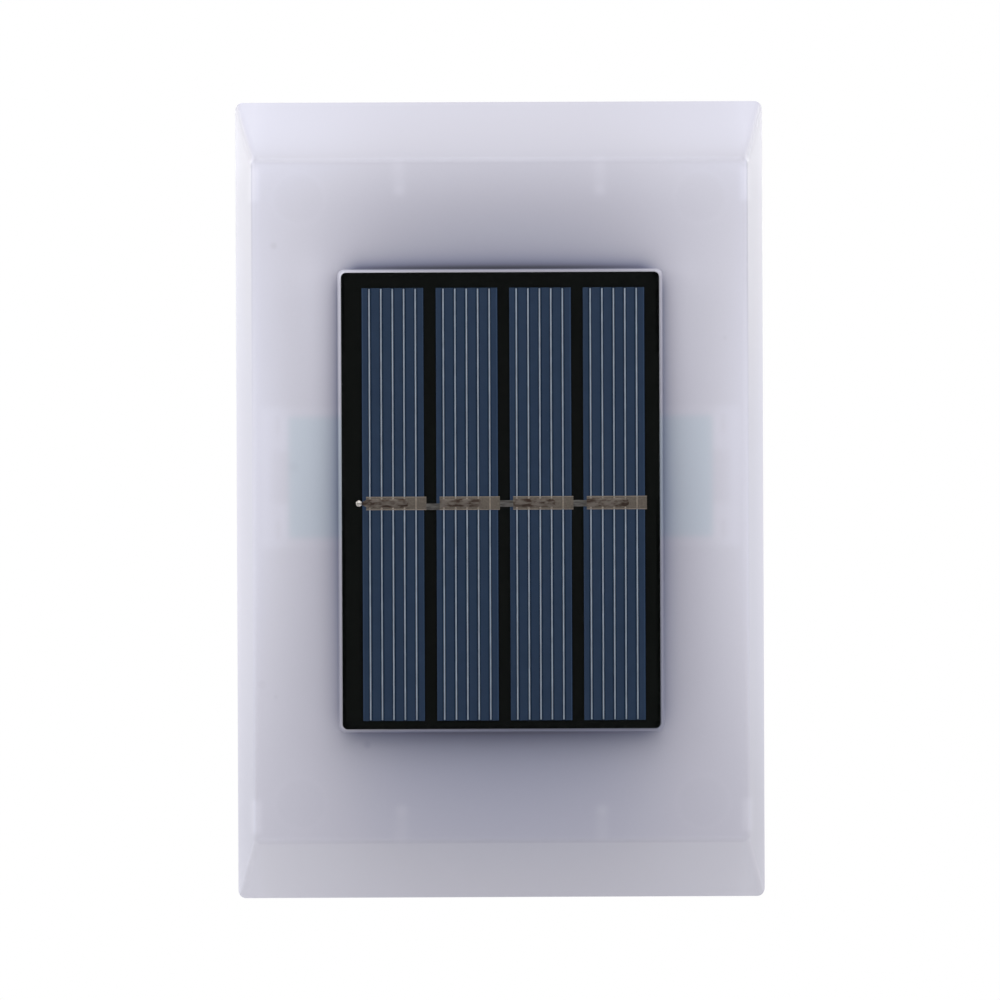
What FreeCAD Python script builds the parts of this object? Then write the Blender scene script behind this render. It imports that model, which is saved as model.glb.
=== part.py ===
import FreeCAD, Part
import math
import os

# A solar fence light: a milky box with a raised solar panel on its face.
# Millimetres. X is to the right, Z is up and the face looks along -Y.
# The origin is the middle of the back, on the wall plane, and every "depth"
# is counted from that plane towards the face, so depth d lies at y = -d.

# ---- Housing shell ----
RIM_WIDTH = 98.0
RIM_HEIGHT = 148.0
FACE_WIDTH = 90.0
FACE_HEIGHT = 124.0
HOUSING_DEPTH = 27.0
RIM_BAND = 4.0                 # straight band at the back, before the walls lean in
OUTER_CORNER = 1.5
INNER_CORNER = 1.0
FACE_ROUND = 1.2
SIDE_WALL = 2.5
FACE_WALL = 2.2
RIM_LIP = 1.3                  # wall left round the rear cover

# ---- Plinth under the panel ----
PLINTH_RISE = 4.0
PLINTH_MARGIN = 0.3            # plinth showing round the panel
PLINTH_DRAFT = 0.6             # how much wider its foot is, each side
PLINTH_WALL = 2.0
LEAD_SLOT_WIDTH = 10.0
LEAD_SLOT_HEIGHT = 4.4
CUT_MARGIN = 1.0               # how far a cutter runs past what it cuts

# ---- Ribs inside the shell ----
END_RIB_SPACING = 36.4
END_RIB_WIDTH = 2.1
END_RIB_REACH = 6.8            # from the face's edge to the rib's tip
END_RIB_GAP = 2.5              # from the cover's ledge to the rib's start
SIDE_RIB_HEIGHT = 5.8
SIDE_RIB_DROP = 4.7            # from the face's top edge to the rib's middle
SIDE_RIB_REACH = 0.7
SIDE_RIB_GAP = 1.0             # from the cover's ledge to the rib's start
SIDE_RIB_LENGTH = 9.5

# ---- Rear cover and gasket ----
REAR_THICKNESS = 2.5
COVER_CLEARANCE = 0.15
GASKET_THICKNESS = 1.0
GASKET_WIDTH = 1.1
GASKET_CLEARANCE = 0.1

# ---- Case screws and their bosses ----
BOSS_INSET_X = 8.5             # from the face's edge to the boss axis
BOSS_INSET_Z = 7.1
BOSS_DIAMETER = 9.4
PILOT_DEPTH = 15.0
CASE_SCREW_DIAMETER = 2.9
CASE_SCREW_HEAD = 5.5
CASE_SCREW_HEAD_HEIGHT = 1.7
CASE_SCREW_LENGTH = 13.0
HEAD_SINK = 0.1
HEAD_CLEARANCE = 0.1
THREAD_CLEARANCE = 0.02
THROUGH_CLEARANCE = 0.2
DRIVE_SLOT_WIDTH = 0.6
DRIVE_SLOT_LENGTH = 2.8
DRIVE_SLOT_DEPTH = 0.9

# ---- Keyholes for the wall screws ----
KEYHOLE_ENTRY_RADIUS = 4.0
KEYHOLE_SLOT_RADIUS = 2.1
KEYHOLE_LIFT = 6.0             # from the entry's middle up to the slot's end
POCKET_DEPTH = 3.5
POCKET_WALL = 1.2
POCKET_MARGIN = 0.5
POCKET_GAP = 1.7               # from a pocket to the piece beside it
UPPER_POCKET_GAP = 7.0

# ---- Solar panel ----
CELL_COUNT = 4
CELL_WIDTH = 11.2
CELL_PITCH = 13.25
CELL_LENGTH = 78.0
CELL_THICKNESS = 0.2
MARGIN_LEFT = 3.7
MARGIN_RIGHT = 2.7
MARGIN_TOP = 2.8
MARGIN_BOTTOM = 1.5
PANEL_CORNER = 0.9
PANEL_BOARD_THICKNESS = 1.6
PAD_HEIGHT = 2.4
PAD_THICKNESS = 0.1
PAD_RISE = 0.2                 # above the middle of the cells
PAD_INSET = 0.7                # from the cell's left edge
PAD_OVERHANG = 0.35            # past the cell's right edge
RIBBON_WIDTH = 1.15
RIBBON_DROPS = (0.63, 0.1, 0.1)
SOLDER_TIP_RADIUS = 0.6
FILM_THICKNESS = 0.4
FILM_BORDER = 0.6
FILM_CLEARANCE = 0.05
ADHESIVE_THICKNESS = 0.4
ADHESIVE_WIDTH = 6.0
ADHESIVE_INSET = 1.0

# ---- Board and its carrier ----
BOARD_THICKNESS = 1.6
BOARD_HEIGHT = 22.2
BOARD_CENTRE_Z = 4.3
BOARD_CLEARANCE = 0.15
TONGUE_REACH = 3.1
TONGUE_HEIGHT = 9.6
CARRIER_PLATE = 1.5
CARRIER_CLEARANCE = 0.3
RAIL_WIDTH = 1.7
RAIL_RISE = 2.5                # above the carrier's plate
ARM_LENGTH = 5.0
ARM_RISE = 1.0
ARM_BAR_WIDTH = 1.5
ARM_BAR_RISE = 4.5
ARM_NOTCH_WIDTH = 0.8
ARM_NOTCH_HEIGHT = 3.2
POST_SPACING = 50.0
POST_DIAMETER = 6.0
CARRIER_SCREW_DIAMETER = 2.2
CARRIER_SCREW_HEAD = 4.2
CARRIER_SCREW_HEAD_HEIGHT = 1.4
CARRIER_SCREW_BITE = 5.0

# ---- Parts on the board ----
CHIP_X = -10.0
CHIP_RISE = 3.7                # above the board's middle
CHIP_LENGTH = 4.9
CHIP_WIDTH = 3.9
CHIP_HEIGHT = 1.5
CHIP_LEAD_PITCH = 1.27
CHIP_LEAD_WIDTH = 0.4
CHIP_LEAD_REACH = 1.0
CHIP_LEAD_TUCK = 1.0           # under the chip's body
CHIP_LEAD_THICKNESS = 0.25
CHIP_LEADS_PER_SIDE = 4
COIL_X = 1.5
COIL_DROP = 3.5                # below the board's middle
COIL_RADIUS = 3.0
COIL_CORE_RADIUS = 2.2
COIL_HEIGHT = 5.0
COIL_FLANGE = 0.9
CAPACITOR_X = 11.0
CAPACITOR_DROP = 5.5
CAPACITOR_RADIUS = 2.5
CAPACITOR_HEIGHT = 7.0
CAPACITOR_ROUND = 0.4
RESISTOR_LENGTH = 3.2
RESISTOR_WIDTH = 1.6
RESISTOR_HEIGHT = 0.6
RESISTOR_PLACES = ((-17.5, 4.5), (-17.5, -3.5), (-8.0, -5.0))
EDGE_RESISTOR_INSET = 0.9      # the one beside the board's left edge
EDGE_RESISTOR_RISE = 1.9
LED_WIDTH = 2.8
LED_LENGTH = 3.5
LED_HEIGHT = 0.8
LED_SPACING = 4.8
LED_WINDOW_RADIUS = 1.15
LED_WINDOW_DEPTH = 0.4

# ---- Mode switch and its button ----
SWITCH_X = 12.0
SWITCH_RISE = 5.2              # above the board's middle
SWITCH_SIZE = 7.0
SWITCH_HOLE_MARGIN = 0.5
SWITCH_FLOOR = 0.6
BUTTON_TRAVEL = 1.5
BUTTON_REST_GAP = 0.75         # left between the pressed button and the switch
BUTTON_DIAMETER = 8.0
BUTTON_FIT = 0.05              # radial running clearance in the rear cover
BUTTON_SINK = 0.4              # its outer face below the wall plane
BUTTON_ROUND = 0.4
BUTTON_STOP_GAP = 0.15
BUTTON_FLANGE_RADIUS = 5.0
BUTTON_FLANGE_THICKNESS = 0.8
COLLAR_LENGTH = 2.0
COLLAR_WALL = 1.5
DISH_RADIUS = 6.5
DISH_DEPTH = 0.8
PLUNGER_SIZE = 3.0
PLUNGER_FIT = 0.08
PLUNGER_SOCKET = 1.6
PLUNGER_ENGAGEMENT = 2.0       # inside the switch at rest
PLUNGER_END_GAP = 0.2          # under the pressed plunger
SEAL_WIRE = 1.0
SEAL_DEPTH = 2.2
SEAL_CLEARANCE = 0.02

# ---- Battery, holder and contacts ----
BATTERY_RADIUS = 7.25
BATTERY_LENGTH = 48.5
BATTERY_ROUND = 0.5
NUB_RADIUS = 2.75
NUB_LENGTH = 1.0
BATTERY_CLEARANCE = 0.25
HOLDER_FLOOR = 1.5
HOLDER_WALL = 1.5
HOLDER_RIM_DEPTH = 12.0
HOLDER_GAP = 6.0               # from the carrier down to the holder
CONTACT_THICKNESS = 0.4
CONTACT_WIDTH = 9.0
CONTACT_TAB = 2.2
SPRING_SPACE = 5.5             # between the cell's flat end and the pocket's end
SPRING_FOLD = 4.8
SPRING_WIDTH = 7.2
HOLDER_SCREW_SPACING = 30.0
HOLDER_SCREW_DIAMETER = 2.0
HOLDER_SCREW_HEAD = 3.8
HOLDER_SCREW_HEAD_HEIGHT = 1.1
HOLDER_SCREW_LENGTH = 3.2

# ---- Leads ----
LEAD_DIAMETER = 1.2
LEAD_FRONT_GAP = 1.8           # from a lead's crest to the shell's face
PANEL_LEAD_SPACING = 6.0
PANEL_LEAD_Z = 29.0
PANEL_LEAD_END_DROP = 2.4      # below the board's top edge
BATTERY_LEAD_END_RISE = 3.3    # above the board's bottom edge
BATTERY_LEAD_SWAY = 2.0
ARC_SHARE = 0.45               # of the shorter run that an arc takes up

TOLERANCE = 1e-6

# ---- Sizes that follow from the ones above ----
PANEL_WIDTH = MARGIN_LEFT + (CELL_COUNT - 1) * CELL_PITCH + CELL_WIDTH + MARGIN_RIGHT
PANEL_HEIGHT = MARGIN_TOP + CELL_LENGTH + MARGIN_BOTTOM
CELLS_CENTRE_Z = (MARGIN_BOTTOM - MARGIN_TOP) / 2
PLINTH_DEPTH = HOUSING_DEPTH + PLINTH_RISE
PANEL_BACK_DEPTH = PLINTH_DEPTH + ADHESIVE_THICKNESS
PANEL_FACE_DEPTH = PANEL_BACK_DEPTH + PANEL_BOARD_THICKNESS
CELL_FACE_DEPTH = PANEL_FACE_DEPTH + CELL_THICKNESS
PAD_FACE_DEPTH = CELL_FACE_DEPTH + PAD_THICKNESS
LEDGE_DEPTH = REAR_THICKNESS + GASKET_THICKNESS
CAVITY_DEPTH = HOUSING_DEPTH - FACE_WALL
LEAD_CREST_DEPTH = CAVITY_DEPTH - LEAD_FRONT_GAP - LEAD_DIAMETER / 2
BOSS_X = FACE_WIDTH / 2 - BOSS_INSET_X
BOSS_Z = FACE_HEIGHT / 2 - BOSS_INSET_Z
BORE_RADIUS = BUTTON_DIAMETER / 2 + BUTTON_FIT
COLLAR_DEPTH = REAR_THICKNESS + COLLAR_LENGTH
FLANGE_DEPTH = COLLAR_DEPTH + BUTTON_STOP_GAP
BUTTON_END_DEPTH = FLANGE_DEPTH + BUTTON_FLANGE_THICKNESS
SWITCH_TOP_DEPTH = BUTTON_END_DEPTH + BUTTON_TRAVEL + BUTTON_REST_GAP
SWITCH_WELL_DEPTH = SWITCH_TOP_DEPTH + PLUNGER_ENGAGEMENT + BUTTON_TRAVEL + PLUNGER_END_GAP
BOARD_BACK_DEPTH = SWITCH_WELL_DEPTH + SWITCH_FLOOR
BOARD_FACE_DEPTH = BOARD_BACK_DEPTH + BOARD_THICKNESS
CARRIER_BACK_DEPTH = BOARD_BACK_DEPTH - CARRIER_PLATE
CARRIER_TOP_DEPTH = BOARD_BACK_DEPTH + ARM_BAR_RISE
CARRIER_HALF_HEIGHT = BOARD_HEIGHT / 2 + BOARD_CLEARANCE + RAIL_WIDTH
SWITCH_Z = BOARD_CENTRE_Z + SWITCH_RISE
BATTERY_DEPTH = REAR_THICKNESS + HOLDER_FLOOR + BATTERY_CLEARANCE + BATTERY_RADIUS
HOLDER_HALF_HEIGHT = BATTERY_RADIUS + BATTERY_CLEARANCE + HOLDER_WALL
HOLDER_Z = BOARD_CENTRE_Z - CARRIER_HALF_HEIGHT - HOLDER_GAP - HOLDER_HALF_HEIGHT
POCKET_HALF_LENGTH = (BATTERY_LENGTH + NUB_LENGTH + SPRING_SPACE + CONTACT_THICKNESS) / 2
HOLDER_HALF_LENGTH = POCKET_HALF_LENGTH + HOLDER_WALL
POCKET_HALF_WIDTH = KEYHOLE_ENTRY_RADIUS + POCKET_MARGIN
UPPER_KEYHOLE_Z = (BOARD_CENTRE_Z + CARRIER_HALF_HEIGHT + UPPER_POCKET_GAP
                   + POCKET_WALL + POCKET_HALF_WIDTH)
LOWER_KEYHOLE_Z = (HOLDER_Z - HOLDER_HALF_HEIGHT - POCKET_GAP - POCKET_WALL
                   - POCKET_HALF_WIDTH - KEYHOLE_LIFT)

BACKWARD = FreeCAD.Vector(0, 1, 0)
FORWARD = FreeCAD.Vector(0, -1, 0)
SIDES = (-1, 1)


# ---- Shapes placed by depth ----

def block(xs, depths, zs):
    """Box between two X values, two depths and two Z values."""
    size = (xs[1] - xs[0], depths[1] - depths[0], zs[1] - zs[0])
    return Part.makeBox(*size, FreeCAD.Vector(xs[0], -depths[1], zs[0]))


def centred_block(x, z, width, height, depths):
    """Box centred on x and z, between two depths."""
    return block((x - width / 2, x + width / 2), depths, (z - height / 2, z + height / 2))


def rod(radius, depths, x=0.0, z=0.0):
    """Cylinder that runs along the depth."""
    start = FreeCAD.Vector(x, -depths[0], z)
    return Part.makeCylinder(radius, depths[1] - depths[0], start, FORWARD)


def cone(radii, depths, x, z):
    """Cone that runs along the depth, with a radius for each end."""
    start = FreeCAD.Vector(x, -depths[0], z)
    return Part.makeCone(radii[0], radii[1], depths[1] - depths[0], start, FORWARD)


def outline(width, height, radius, depth):
    """Rounded rectangle about the Y axis, at one depth, anticlockwise from the right."""
    half_x = width / 2
    half_z = height / 2
    slack = radius * (1 - math.sqrt(0.5))
    arcs = []
    for sx, sz in ((1, 1), (-1, 1), (-1, -1), (1, -1)):
        upright = FreeCAD.Vector(sx * half_x, -depth, sz * (half_z - radius))
        level = FreeCAD.Vector(sx * (half_x - radius), -depth, sz * half_z)
        middle = FreeCAD.Vector(sx * (half_x - slack), -depth, sz * (half_z - slack))
        ends = (upright, level) if sx == sz else (level, upright)
        arcs.append((ends[0], middle, ends[1]))
    edges = []
    for arc, following in zip(arcs, arcs[1:] + arcs[:1]):
        edges.append(Part.Arc(*arc).toShape())
        edges.append(Part.LineSegment(arc[2], following[0]).toShape())
    return Part.Wire(edges)


def slab(width, height, radius, depths):
    """Plate with rounded corners between two depths."""
    face = Part.Face(outline(width, height, radius, depths[0]))
    return face.extrude(FORWARD * (depths[1] - depths[0]))


def wedge(widths, depths, length, placed):
    """Prism whose section is wider at one depth than at the other."""
    near, far = widths[0] / 2, widths[1] / 2
    corners = ((-near, depths[0]), (near, depths[0]), (far, depths[1]), (-far, depths[1]))
    points = [placed(across, depth, -length / 2) for across, depth in corners]
    face = Part.Face(Part.makePolygon(points + points[:1]))
    return face.extrude(placed(0, 0, length))


def frustum(sizes, radius, depths):
    """Solid with four leaning walls between two sizes, its corner edges rounded."""
    widths, heights = zip(*sizes)
    across = wedge(widths, depths, max(heights), lambda a, d, b: FreeCAD.Vector(a, -d, b))
    upright = wedge(heights, depths, max(widths), lambda a, d, b: FreeCAD.Vector(b, -d, a))
    body = across.common(upright)
    corners = [edge for edge in body.Edges if edge.BoundBox.YLength > radius]
    return body.makeFillet(radius, corners)


def join(shapes):
    """One solid out of several that touch or overlap."""
    whole = shapes[0].fuse(shapes[1:])
    return whole.removeSplitter()


def group(shapes):
    """Separate solids that share a node."""
    return Part.makeCompound(shapes)


def shell_size(depth):
    """Outer width and height of the shell at a depth."""
    if depth <= RIM_BAND:
        return RIM_WIDTH, RIM_HEIGHT
    share = (depth - RIM_BAND) / (HOUSING_DEPTH - RIM_BAND)
    width = RIM_WIDTH + share * (FACE_WIDTH - RIM_WIDTH)
    height = RIM_HEIGHT + share * (FACE_HEIGHT - RIM_HEIGHT)
    return width, height


def cavity_size(depth):
    """Inner width and height of the shell at a depth."""
    width, height = shell_size(depth)
    return width - 2 * SIDE_WALL, height - 2 * SIDE_WALL


def cell_left(index):
    """Left edge of a cell strip, counted from the left."""
    return -PANEL_WIDTH / 2 + MARGIN_LEFT + index * CELL_PITCH


def carrier_half_width():
    """Half the carrier's width, clear of the leaning side walls."""
    return cavity_size(CARRIER_TOP_DEPTH)[0] / 2 - CARRIER_CLEARANCE


def board_half_width():
    """Half the board's width, between the carrier's arms."""
    return carrier_half_width() - ARM_LENGTH


def boss_places():
    """Axes of the four case screws."""
    return [(sx * BOSS_X, sz * BOSS_Z) for sx in SIDES for sz in SIDES]


def post_places():
    """Axes of the two carrier screws."""
    return [(sx * POST_SPACING / 2, BOARD_CENTRE_Z) for sx in SIDES]


def holder_screw_places():
    """Axes of the two screws under the battery."""
    return [(sx * HOLDER_SCREW_SPACING / 2, HOLDER_Z) for sx in SIDES]


# ---- Housing ----

def outer_shell():
    """Solid body of the shell with its rounded face edge."""
    band = slab(RIM_WIDTH, RIM_HEIGHT, OUTER_CORNER, (0, RIM_BAND))
    sizes = (shell_size(RIM_BAND), (FACE_WIDTH, FACE_HEIGHT))
    body = frustum(sizes, OUTER_CORNER, (RIM_BAND, HOUSING_DEPTH))
    rim = [e for e in body.Edges if abs(e.BoundBox.YMax + HOUSING_DEPTH) < TOLERANCE]
    return join([band, body.makeFillet(FACE_ROUND, rim)])


def shell_cavity():
    """The hollow inside the shell, with the step that seats the rear cover."""
    step_width = RIM_WIDTH - 2 * RIM_LIP
    step_height = RIM_HEIGHT - 2 * RIM_LIP
    step = slab(step_width, step_height, INNER_CORNER, (0, LEDGE_DEPTH))
    width, height = cavity_size(RIM_BAND)
    throat = slab(width, height, INNER_CORNER, (0, RIM_BAND))
    sizes = (cavity_size(RIM_BAND), cavity_size(CAVITY_DEPTH))
    hollow = frustum(sizes, INNER_CORNER, (RIM_BAND, CAVITY_DEPTH))
    return join([step, throat, hollow])


def plinth():
    """Raised block on the face that carries the panel."""
    top = (PANEL_WIDTH + 2 * PLINTH_MARGIN, PANEL_HEIGHT + 2 * PLINTH_MARGIN)
    foot = (top[0] + 2 * PLINTH_DRAFT, top[1] + 2 * PLINTH_DRAFT)
    corner = PANEL_CORNER + PLINTH_MARGIN
    foot_depth = HOUSING_DEPTH - FACE_WALL / 2
    base = slab(foot[0], foot[1], corner, (foot_depth, HOUSING_DEPTH))
    body = frustum((foot, top), corner, (HOUSING_DEPTH, PLINTH_DEPTH))
    return join([base, body])


def plinth_hollow():
    """Cored back of the plinth and the slot that the panel's leads pass."""
    width = PANEL_WIDTH + 2 * PLINTH_MARGIN - 2 * PLINTH_WALL
    height = PANEL_HEIGHT + 2 * PLINTH_MARGIN - 2 * PLINTH_WALL
    floor_depth = PLINTH_DEPTH - PLINTH_WALL
    core = slab(width, height, INNER_CORNER, (CAVITY_DEPTH - CUT_MARGIN, floor_depth))
    slot = centred_block(0, PANEL_LEAD_Z, LEAD_SLOT_WIDTH, LEAD_SLOT_HEIGHT,
                         (CAVITY_DEPTH, PLINTH_DEPTH))
    return core.fuse(slot)


def end_ribs():
    """Ribs on the top and bottom walls."""
    tip = FACE_HEIGHT / 2 - END_RIB_REACH
    depths = (LEDGE_DEPTH + END_RIB_GAP, HOUSING_DEPTH - FACE_WALL / 2)
    ribs = []
    for sx in SIDES:
        x = sx * END_RIB_SPACING / 2
        for sz in SIDES:
            zs = sorted((sz * tip, sz * RIM_HEIGHT / 2))
            ribs.append(block((x - END_RIB_WIDTH / 2, x + END_RIB_WIDTH / 2), depths, zs))
    return ribs


def side_ribs():
    """Short ribs on the side walls beside the bosses."""
    tip = FACE_WIDTH / 2 - SIDE_RIB_REACH
    middle = FACE_HEIGHT / 2 - SIDE_RIB_DROP
    start = LEDGE_DEPTH + SIDE_RIB_GAP
    depths = (start, start + SIDE_RIB_LENGTH)
    ribs = []
    for sx in SIDES:
        xs = sorted((sx * tip, sx * RIM_WIDTH / 2))
        for sz in SIDES:
            z = sz * middle
            ribs.append(block(xs, depths, (z - SIDE_RIB_HEIGHT / 2, z + SIDE_RIB_HEIGHT / 2)))
    return ribs


def front_cover():
    """The milky shell: walls, plinth, bosses and ribs in one moulding."""
    body = outer_shell()
    ribs = [rib.common(body) for rib in end_ribs() + side_ribs()]
    shell = body.cut(shell_cavity())
    bosses = [rod(BOSS_DIAMETER / 2, (REAR_THICKNESS, HOUSING_DEPTH - FACE_WALL / 2), x, z)
              for x, z in boss_places()]
    shell = shell.fuse([plinth()] + bosses + ribs)
    shell = shell.cut(plinth_hollow())
    radius = CASE_SCREW_DIAMETER / 2 + THREAD_CLEARANCE
    pilots = [rod(radius, (REAR_THICKNESS, REAR_THICKNESS + PILOT_DEPTH), x, z)
              for x, z in boss_places()]
    return shell.cut(pilots).removeSplitter()


def keyhole(z):
    """Everything that a keyhole removes: entry, slot and the pocket behind."""
    top = z + KEYHOLE_LIFT
    through = (0, REAR_THICKNESS)
    entry = rod(KEYHOLE_ENTRY_RADIUS, through, 0, z)
    end = rod(KEYHOLE_SLOT_RADIUS, through, 0, top)
    slot = block((-KEYHOLE_SLOT_RADIUS, KEYHOLE_SLOT_RADIUS), through, (z, top))
    pocket = keyhole_pocket(z, 0, (REAR_THICKNESS, REAR_THICKNESS + POCKET_DEPTH))
    return join([entry, end, slot, pocket])


def keyhole_pocket(z, wall, depths):
    """Room for the screw's head above a keyhole, grown by a wall."""
    half = POCKET_HALF_WIDTH + wall
    return block((-half, half), depths, (z - half, z + KEYHOLE_LIFT + half))


def case_screw_hole(x, z):
    """Countersunk hole in the rear cover."""
    radius = CASE_SCREW_DIAMETER / 2 + THROUGH_CLEARANCE
    head = CASE_SCREW_HEAD / 2 + HEAD_CLEARANCE
    shank = rod(radius, (0, REAR_THICKNESS), x, z)
    mouth = rod(head, (0, HEAD_SINK), x, z)
    seat = cone((head, radius), (HEAD_SINK, HEAD_SINK + CASE_SCREW_HEAD_HEIGHT), x, z)
    return join([shank, mouth, seat])


def rear_cover():
    """Back plate with keyholes, screw posts and the button's collar."""
    width = RIM_WIDTH - 2 * RIM_LIP - 2 * COVER_CLEARANCE
    height = RIM_HEIGHT - 2 * RIM_LIP - 2 * COVER_CLEARANCE
    corner = INNER_CORNER - COVER_CLEARANCE
    plate = slab(width, height, corner, (0, REAR_THICKNESS))
    base = REAR_THICKNESS / 2
    added = [rod(POST_DIAMETER / 2, (base, CARRIER_BACK_DEPTH), x, z) for x, z in post_places()]
    added.append(rod(BORE_RADIUS + COLLAR_WALL, (base, COLLAR_DEPTH), SWITCH_X, SWITCH_Z))
    pocket_depths = (base, REAR_THICKNESS + POCKET_DEPTH + POCKET_WALL)
    for z in (LOWER_KEYHOLE_Z, UPPER_KEYHOLE_Z):
        added.append(keyhole_pocket(z, POCKET_WALL, pocket_depths))
    removed = [keyhole(z) for z in (LOWER_KEYHOLE_Z, UPPER_KEYHOLE_Z)]
    removed += [case_screw_hole(x, z) for x, z in boss_places()]
    pilot = CARRIER_SCREW_DIAMETER / 2 + THREAD_CLEARANCE
    pilot_depths = (CARRIER_BACK_DEPTH - CARRIER_SCREW_BITE - THROUGH_CLEARANCE,
                    CARRIER_BACK_DEPTH)
    removed += [rod(pilot, pilot_depths, x, z) for x, z in post_places()]
    removed.append(rod(BORE_RADIUS, (0, COLLAR_DEPTH), SWITCH_X, SWITCH_Z))
    removed.append(rod(DISH_RADIUS, (0, DISH_DEPTH), SWITCH_X, SWITCH_Z))
    holder_pilot = HOLDER_SCREW_DIAMETER / 2 + THREAD_CLEARANCE
    holder_depths = (REAR_THICKNESS + HOLDER_FLOOR - HOLDER_SCREW_LENGTH - THROUGH_CLEARANCE,
                     REAR_THICKNESS)
    removed += [rod(holder_pilot, holder_depths, x, z) for x, z in holder_screw_places()]
    return plate.fuse(added).cut(removed).removeSplitter()


def cover_gasket():
    """Ring between the shell's ledge and the rear cover."""
    width = RIM_WIDTH - 2 * RIM_LIP - 2 * GASKET_CLEARANCE
    height = RIM_HEIGHT - 2 * RIM_LIP - 2 * GASKET_CLEARANCE
    corner = INNER_CORNER - GASKET_CLEARANCE
    depths = (REAR_THICKNESS, LEDGE_DEPTH)
    ring = slab(width, height, corner, depths)
    hole = slab(width - 2 * GASKET_WIDTH, height - 2 * GASKET_WIDTH, corner, depths)
    return ring.cut(hole)


def cross_recess(x, z, depths):
    """Crossed slots for a screwdriver."""
    upright = centred_block(x, z, DRIVE_SLOT_WIDTH, DRIVE_SLOT_LENGTH, depths)
    level = centred_block(x, z, DRIVE_SLOT_LENGTH, DRIVE_SLOT_WIDTH, depths)
    return upright.fuse(level)


def case_screws():
    """Four countersunk screws through the rear cover."""
    screws = []
    radius = CASE_SCREW_DIAMETER / 2
    neck = HEAD_SINK + CASE_SCREW_HEAD_HEIGHT
    for x, z in boss_places():
        head = cone((CASE_SCREW_HEAD / 2, radius), (HEAD_SINK, neck), x, z)
        shank = rod(radius, (neck, HEAD_SINK + CASE_SCREW_LENGTH), x, z)
        drive = cross_recess(x, z, (HEAD_SINK, HEAD_SINK + DRIVE_SLOT_DEPTH))
        screws.append(head.fuse(shank).cut(drive))
    return group(screws)


# ---- Solar panel ----

def panel_adhesive():
    """Frame of tape between the plinth and the panel."""
    width = PANEL_WIDTH - 2 * ADHESIVE_INSET
    height = PANEL_HEIGHT - 2 * ADHESIVE_INSET
    depths = (PLINTH_DEPTH, PANEL_BACK_DEPTH)
    sheet = slab(width, height, PANEL_CORNER, depths)
    hole = slab(width - 2 * ADHESIVE_WIDTH, height - 2 * ADHESIVE_WIDTH, PANEL_CORNER, depths)
    return sheet.cut(hole)


def panel_board():
    """Black backing board of the panel."""
    return slab(PANEL_WIDTH, PANEL_HEIGHT, PANEL_CORNER, (PANEL_BACK_DEPTH, PANEL_FACE_DEPTH))


def solar_cells():
    """Four upright cell strips."""
    zs = (CELLS_CENTRE_Z - CELL_LENGTH / 2, CELLS_CENTRE_Z + CELL_LENGTH / 2)
    depths = (PANEL_FACE_DEPTH, CELL_FACE_DEPTH)
    return group([block((cell_left(i), cell_left(i) + CELL_WIDTH), depths, zs)
                  for i in range(CELL_COUNT)])


def pad_ends(index):
    """Left and right end of the soldered pad across a cell."""
    left = cell_left(index) + PAD_INSET
    return left, cell_left(index) + CELL_WIDTH + PAD_OVERHANG


def busbar_pads():
    """Soldered pads across the middle of the cells."""
    middle = CELLS_CENTRE_Z + PAD_RISE
    zs = (middle - PAD_HEIGHT / 2, middle + PAD_HEIGHT / 2)
    return group([block(pad_ends(i), (CELL_FACE_DEPTH, PAD_FACE_DEPTH), zs)
                  for i in range(CELL_COUNT)])


def cell_ribbons():
    """Tinned ribbons that bridge the gaps between cells."""
    ribbons = []
    for index, drop in enumerate(RIBBON_DROPS):
        left = pad_ends(index)[1]
        right = pad_ends(index + 1)[0]
        middle = CELLS_CENTRE_Z + PAD_RISE - drop
        zs = (middle - RIBBON_WIDTH / 2, middle + RIBBON_WIDTH / 2)
        ribbons.append(block((left, right), (CELL_FACE_DEPTH, PAD_FACE_DEPTH), zs))
    return group(ribbons)


def solder_tip():
    """Bead of solder at the left end of the first pad."""
    x = cell_left(0) - SOLDER_TIP_RADIUS
    z = CELLS_CENTRE_Z + PAD_RISE
    return rod(SOLDER_TIP_RADIUS, (PANEL_FACE_DEPTH, PAD_FACE_DEPTH), x, z)


def panel_film():
    """Clear cover sheet, hollowed over the cells."""
    face_depth = PAD_FACE_DEPTH + FILM_CLEARANCE + FILM_THICKNESS
    sheet = slab(PANEL_WIDTH, PANEL_HEIGHT, PANEL_CORNER, (PANEL_FACE_DEPTH, face_depth))
    width = PANEL_WIDTH - 2 * FILM_BORDER
    height = PANEL_HEIGHT - 2 * FILM_BORDER
    hollow = slab(width, height, PANEL_CORNER,
                  (PANEL_FACE_DEPTH, PAD_FACE_DEPTH + FILM_CLEARANCE))
    return sheet.cut(hollow)


# ---- Board, carrier and the parts on the board ----

def main_board():
    """Circuit board with a tongue at each end."""
    half = board_half_width()
    depths = (BOARD_BACK_DEPTH, BOARD_FACE_DEPTH)
    body = centred_block(0, BOARD_CENTRE_Z, 2 * half, BOARD_HEIGHT, depths)
    tongue = centred_block(0, BOARD_CENTRE_Z, 2 * (half + TONGUE_REACH), TONGUE_HEIGHT, depths)
    radius = CARRIER_SCREW_DIAMETER / 2 + THROUGH_CLEARANCE
    holes = [rod(radius, depths, x, z) for x, z in post_places()]
    return join([body, tongue]).cut(holes)


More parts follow.
